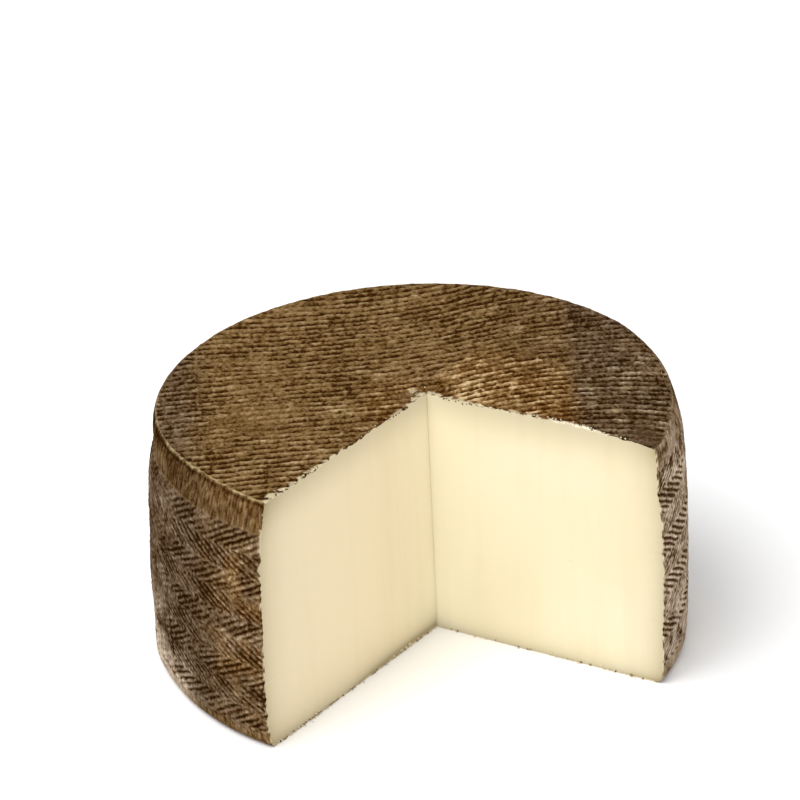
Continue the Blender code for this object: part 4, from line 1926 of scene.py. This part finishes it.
@dataclass(frozen=True)
class Paste:
    """The paste: a body inside the rind, whose two knife-cut faces show.

    Its outline in plan runs from the corner along the right cut face, round under the rind, and back
    along the left cut face. Rings of that outline rise from the base rind to the top one, and a
    smaller ring above and below them closes the body inside the rind.
    """

    wheel: Wheel
    along: int = 160
    round_back: int = 72
    levels: int = 160
    rind: float = 0.60
    top_rind: Pair = (0.22, 0.52)
    base_rind: Pair = (0.12, 0.30)
    proud: float = 0.06
    tuck: float = 0.16
    closing_inset: float = 4.0
    closing_share: float = 0.02
    first_back: float = 0.004
    sunk: float = 1.6
    middle: tuple[float, float] = (-30.0, 35.0)
    right_pits: tuple[tuple[float, float], ...] = ((41.7, 84.9), (62.7, 52.2), (58.2, 41.9), (62.6, 4.6))
    left_pits: tuple[tuple[float, float], ...] = ((33.0, 61.0), (71.5, 22.0))
    pit_depth: float = 0.55  # of a pit's size
    ripe_top: Span = (0.44, 9.5)  # strength and width of the darker band under each edge
    ripe_side: Pair = (0.64, 0.53)
    ripe_side_width: float = 6.8
    ripe_base: Pair = (0.70, 0.66)
    ripe_base_width: Pair = (3.3, 5.5)
    # the painted light round the corner grows towards the floor by this
    painted_light_at_foot: Pair = (1.0, 0.6)
    right_box: Box = (0.02, 0.50, 0.46, 0.48)
    left_box: Box = (0.52, 0.50, 0.46, 0.48)
    back_box: Box = (0.02, 0.30, 0.96, 0.14)
    lid_middle: tuple[float, float] = (0.13, 0.14)
    floor_middle: tuple[float, float] = (0.40, 0.14)
    lid_scale: float = 0.0012

    def edge_level(self, x: Array, y: Array, share: Array, end: End) -> Array:
        """The height at which the paste gives way to an end's rind.

        The rind's cut edge is ragged, thicker on the left cut face, and all but gone where it is torn.

        Args:
            x, y: the places.
            share: share of the turn.
            end: which end.

        Returns:
            The height above the floor.
        """
        thickness = np.where(share < 0.5, *(self.top_rind if end is End.TOP else self.base_rind))
        ragged = Noise(1.0, 1.0, 1.0, 131, 3).at(x / 1.1 + y / 1.3, x * 0 + end.value)
        ragged = ragged + 0.4 * smooth_noise((x + y) / 5, 0.5, 132)
        relief = PressedRibs(self.wheel, end).at(x, y)
        depth = np.maximum(thickness * (1 + 0.95 * ragged), 0.04) * (1 - 0.85 * relief.torn)
        return self.wheel.height + relief.rise - depth if end is End.TOP else depth - relief.rise

    def edge_radius(self, share: Array, turn: Array, z: Array) -> Array:
        """The radius at which the paste gives way to the side's rind, which is ragged too.

        Args:
            share: share of the turn.
            turn: angle round the axis.
            z: height above the floor.

        Returns:
            The radius.
        """
        relief = PlaitedBand(self.wheel).at(turn, z)
        ragged = 0.34 + Noise(0.36, 1.2, 1.0, 133, 3).at(z, turn * 3.0)
        ragged = ragged * (1 - 0.8 * relief.torn)
        plain = self.wheel.side_radius(z, self.wheel.rim_turn(share))
        return plain + relief.rise * 0.9 - np.maximum(ragged, 0.05)

    def build(self, finish: bpy.types.Material) -> bpy.types.Object:
        """Makes the paste.

        Args:
            finish: the paste's material.

        Returns:
            The piece.
        """
        wheel = self.wheel
        run = np.arange(self.along + 1) / self.along
        back = np.linspace(self.first_back, 1 - self.first_back, self.round_back - 1)
        share = np.concatenate([np.zeros(self.along + 1), back, np.ones(self.along)])
        part = np.concatenate([run, np.ones(self.round_back - 1), run[:0:-1]])
        level = np.arange(self.levels + 1)[:, None] / self.levels
        share, part = np.tile(share, (self.levels + 1, 1)), np.tile(part, (self.levels + 1, 1))
        form_turn = wheel.rim_turn(share)
        x, y = wheel.plan(share, wheel.side_radius(wheel.height * level, form_turn) - self.rind, part)
        low = self.edge_level(x[:1], y[:1], share[:1], End.BASE)
        high = self.edge_level(x[-1:], y[-1:], share[-1:], End.TOP)
        z = low + (high - low) * level
        turn = wheel.turn(*wheel.plan(share, wheel.side_radius(z, form_turn)))
        behind = np.where((share > 0) & (share < 1), self.sunk, 0.0)
        x, y = wheel.plan(share, self.edge_radius(share, turn, z) - behind, part)
        border = np.zeros_like(x)
        border[[0, -1]] = 1.0
        border = np.maximum(border, part >= 1.0)
        x, y, seam = self.knife(x, y, z, share, part, border)
        rings = np.stack([x, y, z], axis=-1)
        lowest, highest = rings[:1].copy(), rings[-1:].copy()
        for ring, height in ((lowest, self.closing_inset), (highest, wheel.height - self.closing_inset)):
            ring[..., :2] += (np.array(self.middle) - ring[..., :2]) * self.closing_share
            ring[..., 2] = height
        points = np.concatenate([lowest, rings, highest])
        grow = [0, *range(self.levels + 1), self.levels]
        return place(self.mesh(points, share[grow], part[grow], seam[grow]), finish, Slot.PASTE)

    def knife(
        self, x: Array, y: Array, z: Array, share: Array, part: Array, border: Array
    ) -> tuple[Array, Array, Array]:
        """Moves the cut faces to where the knife left them.

        Each face stands a little proud of the rind's edge, undulates slowly, and has a few small
        pits, which are bells. Its border is tucked behind the rind's edge.

        Args:
            x, y: the places.
            z: height.
            share: share of the turn, 0 on the right face and 1 on the left.
            part: part of the way from the corner to the side.
            border: 1 on the outermost points of the faces and 0 elsewhere.

        Returns:
            The new x and y, and the mask of painted shade in the crease at the corner.
        """
        wheel = self.wheel
        seam = np.zeros_like(x)
        moved_x, moved_y = x.copy(), y.copy()
        for face, on_face, pits, seed in (
            (Face.RIGHT, share <= 0.0, self.right_pits, 141),
            (Face.LEFT, share >= 1.0, self.left_pits, 151),
        ):
            on_face = on_face | (part <= 0.0)
            distance, _ = wheel.from_cut(x, y, face)
            _, out = wheel.cut_frame(face)
            wave = Noise(0.05, 34.0, 40.0, seed, 3).at(distance, z)
            wave = wave + Noise(0.02, 5.0, 60.0, seed + 1).at(distance, z)
            depth = self.proud + wave - self.tuck * border
            for number, (centre, height) in enumerate(pits):
                size = 0.45 + 0.12 * (number % 3)
                gap = np.hypot(distance - centre, z - height)
                depth = depth - self.pit_depth * size * bell(gap, size)
            moved_x += np.where(on_face, depth * out.x, 0.0)
            moved_y += np.where(on_face, depth * out.y, 0.0)
            # painted shade: a thin line in the crease where the two faces meet
            seam = np.maximum(seam, np.where(on_face, 0.28 * bell(distance, 0.45), 0.0))
        return moved_x, moved_y, seam

    def mesh(self, points: Array, share: Array, part: Array, seam: Array) -> bpy.types.Mesh:
        """Joins the rings of points into a closed mesh.

        Args:
            points: one ring of points for each level.
            share: share of the turn of each point.
            part: part of the way from the corner to the side.
            seam: the mask of painted shade in the corner's crease.

        Returns:
            The mesh.
        """
        rows, around = points.shape[:2]
        numbers = np.arange(rows * around).reshape(rows, around)
        ring = np.concatenate([numbers, numbers[:, :1]], axis=1)
        quads = grid_quads(ring.T, np.ones((around, rows - 1), bool))
        column = np.tile(np.arange(around)[:, None], (1, rows - 1)).ravel()
        level = np.tile(np.arange(rows - 1)[None, :], (around, 1)).ravel()
        across = np.stack([column, column + 1, column + 1, column], axis=1)
        up = np.stack([level, level, level + 1, level + 1], axis=1) / (rows - 1)
        right, left = column < self.along, column >= around - self.along
        quad_map = in_box(self.back_box, (across - self.along) / self.round_back, up)
        quad_map[right] = in_box(self.right_box, across / self.along, up)[right]
        quad_map[left] = in_box(self.left_box, (across - around + self.along) / self.along, up)[left]
        lid_map = np.array(self.lid_middle) + points[-1][None, :, :2] * self.lid_scale
        floor_map = np.array(self.floor_middle) + points[0][None, ::-1, :2] * self.lid_scale
        faces = [
            Polygons.of(quads, quad_map),
            Polygons.of(numbers[-1][None, :], lid_map),
            Polygons.of(numbers[0][::-1][None, :], floor_map),
        ]
        masks = self.masks(points[..., 2], share, part)
        masks["seam"] = seam
        masks = {key: value.ravel() for key, value in masks.items()}
        mesh = make_mesh("paste", points.reshape(-1, 3), Polygons.joined(faces), masks)
        mesh.shade_smooth()
        mesh.set_sharp_from_angle(angle=40 * DEGREE)
        return mesh

    def masks(self, z: Array, share: Array, part: Array) -> dict[str, Array]:
        """Works out where the paste is ripe or blushing, and where light is painted into its corner.

        It ripens by a bell of the distance from the top and by exponentials of those from the side
        and from the base. The left face is riper all over, and darker still at the foot of its inner
        end.

        Args:
            z: height.
            share: share of the turn.
            part: part of the way from the corner to the side.

        Returns:
            The masks by name.
        """
        wheel, on_left = self.wheel, share >= 1.0
        side, base, base_width, light = (
            np.where(on_left, left, right)
            for right, left in (self.ripe_side, self.ripe_base, self.ripe_base_width, self.painted_light_at_foot)
        )
        outer = (1 - part) * wheel.reach(wheel.heading(share), np.float64(wheel.radius))
        inward = part * wheel.radius
        top, top_width = self.ripe_top
        ripe = top * bell(wheel.height - z, top_width) + side * np.exp(-outer / self.ripe_side_width)
        ripe = ripe + base * np.exp(-z / base_width)
        ripe = ripe + on_left * (0.06 * ease(70, 10, outer) + 0.10 * np.exp(-outer / 9))
        # the left face darkens at the foot of its inner end
        ripe = ripe + on_left * 1.4 * ease(62, 25, inward) * np.exp(-z / 2.0)
        # painted light: the paste is paler round the corner of the cut, more so near the floor
        painted_corner_light = bell(inward, 16.0) * (1 + light * ease(40, 10, z))
        return {"ripe": np.clip(ripe, 0.0, 1.0), "blush": 0.9 * on_left, "painted_corner_light": painted_corner_light}


@dataclass
class Scatter:
    """Chips of one kind: their middles and half widths in millimetres, and masks for each chip."""

    name: str
    slot: Slot
    centres: Array
    sizes: Array
    masks: dict[str, Array]


@dataclass(frozen=True)
class Strip:
    """A stretch along a cut face, from one distance from the corner to another, and how many chips."""

    face: Face
    first: float
    last: float
    count: int


@dataclass(frozen=True)
class Crumbs:
    """Chips of paste and rind along the edges of the cut, joined into one piece of each kind."""

    wheel: Wheel
    seed: int = 20
    pale_floor: tuple[Strip, ...] = (
        Strip(Face.RIGHT, 1, 86, 50),
        Strip(Face.LEFT, 1, 98, 60),
        Strip(Face.LEFT, 68, 96, 70),
    )
    dark_floor: tuple[Strip, ...] = (Strip(Face.RIGHT, 8, 86, 8), Strip(Face.LEFT, 30, 98, 30))
    top_edge: tuple[Strip, ...] = (Strip(Face.RIGHT, 1, 86, 14), Strip(Face.LEFT, 1, 90, 14))
    foot: tuple[Strip, ...] = (
        Strip(Face.LEFT, 70, 100, 26),
        Strip(Face.LEFT, 6, 70, 26),
        Strip(Face.RIGHT, 4, 90, 14),
    )
    under_edge: tuple[Strip, ...] = (
        Strip(Face.RIGHT, 6, 50, 34),
        Strip(Face.LEFT, 12, 46, 20),
        Strip(Face.LEFT, 66, 96, 16),
    )
    heap: int = 50  # pale chips in the heap on the top's right edge
    notch: int = 6  # pale chips at the notch

    def chip(self) -> tuple[Array, Array]:
        """Makes an icosahedron, from the golden ratio's three rectangles.

        Its faces are the triples of corners that are all 2 apart, turned outwards.

        Returns:
            The corners and the faces.
        """
        golden = (1 + math.sqrt(5)) / 2
        corners = np.array([[-1, golden, 0], [1, golden, 0], [-1, -golden, 0], [1, -golden, 0]], float)
        corners = np.concatenate([corners, np.roll(corners, 1, axis=1), np.roll(corners, 2, axis=1)])
        triples = np.array(list(itertools.combinations(range(12), 3)))
        spans = corners[triples] - corners[np.roll(triples, 1, axis=1)]
        faces = triples[(np.abs(np.linalg.norm(spans, axis=2) - 2) < 0.01).all(axis=1)]
        first, second, third = (corners[faces[:, number]] for number in range(3))
        outward = (np.cross(second - first, third - first) * first).sum(axis=1) > 0
        faces = np.where(outward[:, None], faces, faces[:, ::-1])
        return corners / np.linalg.norm(corners[0]), faces

    def piece(
        self, chips: Scatter, rng: np.random.Generator, finish: bpy.types.Material
    ) -> bpy.types.Object:
        """Makes one piece of many chips.

        Each chip is the icosahedron with its corners moved in and out by draws, stretched along its
        axes by others, and turned by a matrix whose columns come from two random directions.

        Args:
            chips: what to make.
            rng: the source of the draws.
            finish: the material.

        Returns:
            The piece.
        """
        corners, faces = self.chip()
        count = len(chips.centres)
        shape = corners[None] * rng.uniform(0.65, 1.25, (count, 12, 1))
        shape = shape * rng.uniform(0.6, 1.3, (count, 1, 3))
        first = rng.normal(size=(count, 3))
        first /= np.linalg.norm(first, axis=1, keepdims=True)
        second = np.cross(first, rng.normal(size=(count, 3)))
        second /= np.linalg.norm(second, axis=1, keepdims=True)
        axes = np.stack([first, second, np.cross(first, second)], axis=1)
        points = np.einsum("nki,nij->nkj", shape, axes) * chips.sizes[:, None, None]
        points = points + chips.centres[:, None]
        points[..., 2] = np.maximum(points[..., 2], 0.0)
        table = (faces[None] + 12 * np.arange(count)[:, None, None]).reshape(-1, 3)
        across = math.ceil(math.sqrt(len(table)))
        row, column = np.divmod(np.arange(len(table)), across)
        cell = np.stack([column, row], axis=1)[:, None]
        corner = np.array([[0.1, 0.1], [0.9, 0.1], [0.5, 0.9]])[None]
        faces = Polygons.of(table, (cell + corner) / across)
        masks = {key: np.repeat(value, len(corners)) for key, value in chips.masks.items()}
        return place(make_mesh(chips.name, points.reshape(-1, 3), faces, masks), finish, chips.slot)

    def beside(self, face: Face, distance: Array, before: Array, z: Array) -> Array:
        """Places beside a cut face.

        Args:
            face: which cut face.
            distance: how far along it from the corner.
            before: how far in front of it.
            z: height.

        Returns:
            A row of three coordinates for each.
        """
        along, out = self.wheel.cut_frame(face)
        x = self.wheel.corner[0] + distance * along.x + before * out.x
        y = self.wheel.corner[1] + distance * along.y + before * out.y
        return np.stack([x, y, z + 0 * x], axis=1)

    def on_top(self, face: Face, distance: Array, behind: Array) -> Array:
        """Places on the top rind, behind the edge of a cut face.

        Args:
            face: which cut face.
            distance: how far along it from the corner.
            behind: how far behind it.

        Returns:
            A row of three coordinates for each.
        """
        places = self.beside(face, distance, -behind, 0.0)
        places[:, 2] = EndRind(self.wheel, End.TOP).face_height(places[:, 0], places[:, 1])
        return places

    def build(self, paste: bpy.types.Material, rind: bpy.types.Material) -> None:
        """Makes both kinds.

        Loose chips lie on the floor in front of the faces, at exponential distances, and on the top
        behind its edges, with a heap at one place and a few at the notch. Others stick to the faces:
        pale and dark ones at the foot, and dark ones just under the top edge.

        Args:
            paste: the paste's material.
            rind: the rind's material.
        """
        rng = np.random.default_rng(self.seed)
        pale, dark, stuck = [], [], []
        near, far = rng.normal(61, 6, self.heap), np.abs(rng.normal(0.4, 0.6, self.heap))
        pale.append(self.on_top(Face.RIGHT, near, far))
        near, far = rng.normal(2.0, 2.0, self.notch), rng.normal(2.0, 1.2, self.notch)
        pale.append(self.on_top(Face.LEFT, near, far))
        floors = ((pale, self.pale_floor, 0.30, 0.15), (dark, self.dark_floor, 0.25, 0.12))
        for kind, strips, mean, z in floors:
            for strip in strips:
                distance = rng.uniform(strip.first, strip.last, strip.count)
                before = rng.exponential(mean, strip.count)
                kind.append(self.beside(strip.face, distance, before, z))
        for strip in self.top_edge:
            for kind, spread in ((pale, 0.35), (dark, 0.3)):
                distance = rng.uniform(strip.first, strip.last, strip.count)
                behind = np.abs(rng.normal(0, spread, strip.count))
                kind.append(self.on_top(strip.face, distance, behind))
        loose_pale, loose_dark = sum(map(len, pale)), sum(map(len, dark))
        for strip in self.foot:
            face, count = strip.face, strip.count
            distance, before = rng.uniform(strip.first, strip.last, count), rng.uniform(0.0, 0.2, count)
            stuck.append(self.beside(face, distance, before, rng.uniform(0.3, 1.5, count)))
            distance = rng.uniform(strip.first, strip.last, count)
            dark.append(self.beside(face, distance, 0.1, rng.uniform(0.1, 0.7, count)))
        for strip in self.under_edge:
            distance = rng.uniform(strip.first, strip.last, strip.count)
            edge = self.on_top(strip.face, distance, -rng.uniform(0.0, 0.12, strip.count))
            edge[:, 2] -= rng.uniform(0.15, 0.75, strip.count)
            dark.append(edge)
        pale, dark = np.concatenate([*pale, *stuck]), np.concatenate(dark)
        size_dark = rng.uniform(0.12, 0.32, len(dark))
        size_dark[loose_dark:] = rng.uniform(0.22, 0.45, len(dark) - loose_dark)
        ripe = rng.uniform(0.10, 0.50, len(pale))
        ripe[: self.heap] -= 0.10
        tone, warm = rng.uniform(0.30, 0.72, len(dark)), rng.uniform(0.3, 0.9, len(dark))
        size_pale = rng.uniform(0.12, 0.40, len(pale))
        size_pale[loose_pale:] = rng.uniform(0.22, 0.50, len(pale) - loose_pale)
        of_paste = Scatter("crumbs_paste", Slot.PASTE, pale, size_pale, {"ripe": ripe})
        of_rind = Scatter("crumbs_rind", Slot.RIND, dark, size_dark, {"tone": tone, "warm": warm})
        self.piece(of_paste, rng, paste)
        self.piece(of_rind, rng, rind)


# ---- The studio ------------------------------------------------------------


@dataclass(frozen=True)
class SoftLight:
    """A round soft light that looks at the wheel. Its place and its width are in metres."""

    name: str
    place: tuple[float, float, float]
    width: float
    power: float
    aim: tuple[float, float, float] = (0.0, 0.0, 0.04)

    def build(self) -> None:
        """Makes the light."""
        light = bpy.data.lights.new(self.name, "AREA")
        light.shape = "DISK"
        light.size = self.width
        light.energy = self.power
        lamp = bpy.data.objects.new(self.name, light)
        lamp.location = self.place
        toward = Vector(self.aim) - lamp.location
        lamp.rotation_euler = toward.to_track_quat("-Z", "Y").to_euler()
        bpy.context.scene.collection.objects.link(lamp)


@dataclass(frozen=True)
class Studio:
    """A white floor, soft white surroundings, and two broad lights: one in front and one on the left."""

    floor_size: float = 30.0
    floor_level: float = -0.00005
    floor_white: float = 0.93
    floor_roughness: float = 0.9
    surround: float = 0.85
    lights: tuple[SoftLight, ...] = (
        SoftLight("front_light", (0.085, -0.971, 1.393), 1.1, 10.0),
        SoftLight("left_light", (-0.50, -0.517, 1.54), 1.2, 11.4),
    )

    def build(self) -> None:
        """Makes the floor, the surroundings and the lights."""
        scene = bpy.context.scene
        scene.view_settings.view_transform = "Standard"
        scene.view_settings.look = "None"
        mesh = bpy.data.meshes.new("floor")
        half = self.floor_size / 2
        corners = [(-half, -half), (half, -half), (half, half), (-half, half)]
        mesh.from_pydata([(x, y, self.floor_level) for x, y in corners], [], [(0, 1, 2, 3)])
        floor = bpy.data.objects.new("floor", mesh)
        scene.collection.objects.link(floor)
        material, _, shader = new_material("floor_white")
        shader.inputs["Base Color"].default_value = (*[self.floor_white] * 3, 1.0)
        shader.inputs["Roughness"].default_value = self.floor_roughness
        mesh.materials.append(material)
        world = bpy.data.worlds.new("surroundings")
        world.use_nodes = True
        background = world.node_tree.nodes["Background"]
        background.inputs["Color"].default_value = (1.0, 1.0, 1.0, 1.0)
        background.inputs["Strength"].default_value = self.surround
        scene.world = world
        for light in self.lights:
            light.build()


@dataclass(frozen=True)
class PhotoCamera:
    """The camera of the photograph, fitted to the rims and to the corners of the cut.

    Angles are in degrees and distances in metres. The target is the point of the wheel's axis that
    the photograph shows at target_pixel, in an image of 800 by 800 pixels.
    """

    azimuth: float = 34.35
    elevation: float = 28.48
    roll: float = -2.68
    distance: float = 1.785
    target_height: float = 0.045
    focal_pixels: float = 4808.0
    target_pixel: tuple[float, float] = (420.45, 526.3)
    image_side: int = 800

    def build(self) -> bpy.types.Object:
        """Makes the camera and looks through it.

        It stands back from the target along its azimuth and elevation, is rolled, and then turned
        by the small angles that bring the target to its pixel.

        Returns:
            The camera.
        """
        azimuth, elevation = self.azimuth * DEGREE, self.elevation * DEGREE
        level = math.cos(elevation)
        back = Vector((math.sin(azimuth) * level, -math.cos(azimuth) * level, math.sin(elevation)))
        turn = back.to_track_quat("Z", "Y").to_matrix().to_4x4()
        pan = math.atan((self.target_pixel[0] - self.image_side / 2) / self.focal_pixels)
        tilt = math.atan((self.target_pixel[1] - self.image_side / 2) / self.focal_pixels)
        turn = turn @ Matrix.Rotation(self.roll * DEGREE, 4, "Z")
        turn = turn @ Matrix.Rotation(pan, 4, "Y") @ Matrix.Rotation(tilt, 4, "X")
        data = bpy.data.cameras.new("photo_camera")
        data.sensor_width = 36.0
        data.lens = data.sensor_width * self.focal_pixels / self.image_side
        data.clip_start, data.clip_end = 0.05, 60.0
        camera = bpy.data.objects.new("photo_camera", data)
        stand = Vector((0, 0, self.target_height)) + back * self.distance
        camera.matrix_world = Matrix.Translation(stand) @ turn
        bpy.context.scene.collection.objects.link(camera)
        bpy.context.scene.camera = camera
        return camera


def plain(corner: Vector) -> list[float]:
    """A corner as a plain list of numbers."""
    return [float(value) for value in corner]


def main() -> None:
    """Builds the pieces in order, then the studio and the camera."""
    logging.basicConfig(level=logging.INFO, format="%(name)s: %(message)s")
    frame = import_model()
    wheel = Wheel.from_box(*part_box(NODE))
    log.info("wheel: radius %.1f mm, height %.1f mm", wheel.radius, wheel.height)
    log.info("in place of %s", list(frame["nodes"]))

    grain = grain_group()
    rind = RindFinish(grain).build("rind_dry")
    paste = PasteFinish(grain).build("paste_cut")
    EndRind(wheel, End.TOP).build(rind)
    EndRind(wheel, End.BASE).build(rind)
    SideRind(wheel).build(rind)
    Paste(wheel).build(paste)
    Crumbs(wheel).build(paste, rind)

    Studio().build()
    PhotoCamera().build()


if __name__ == "__main__":
    main()
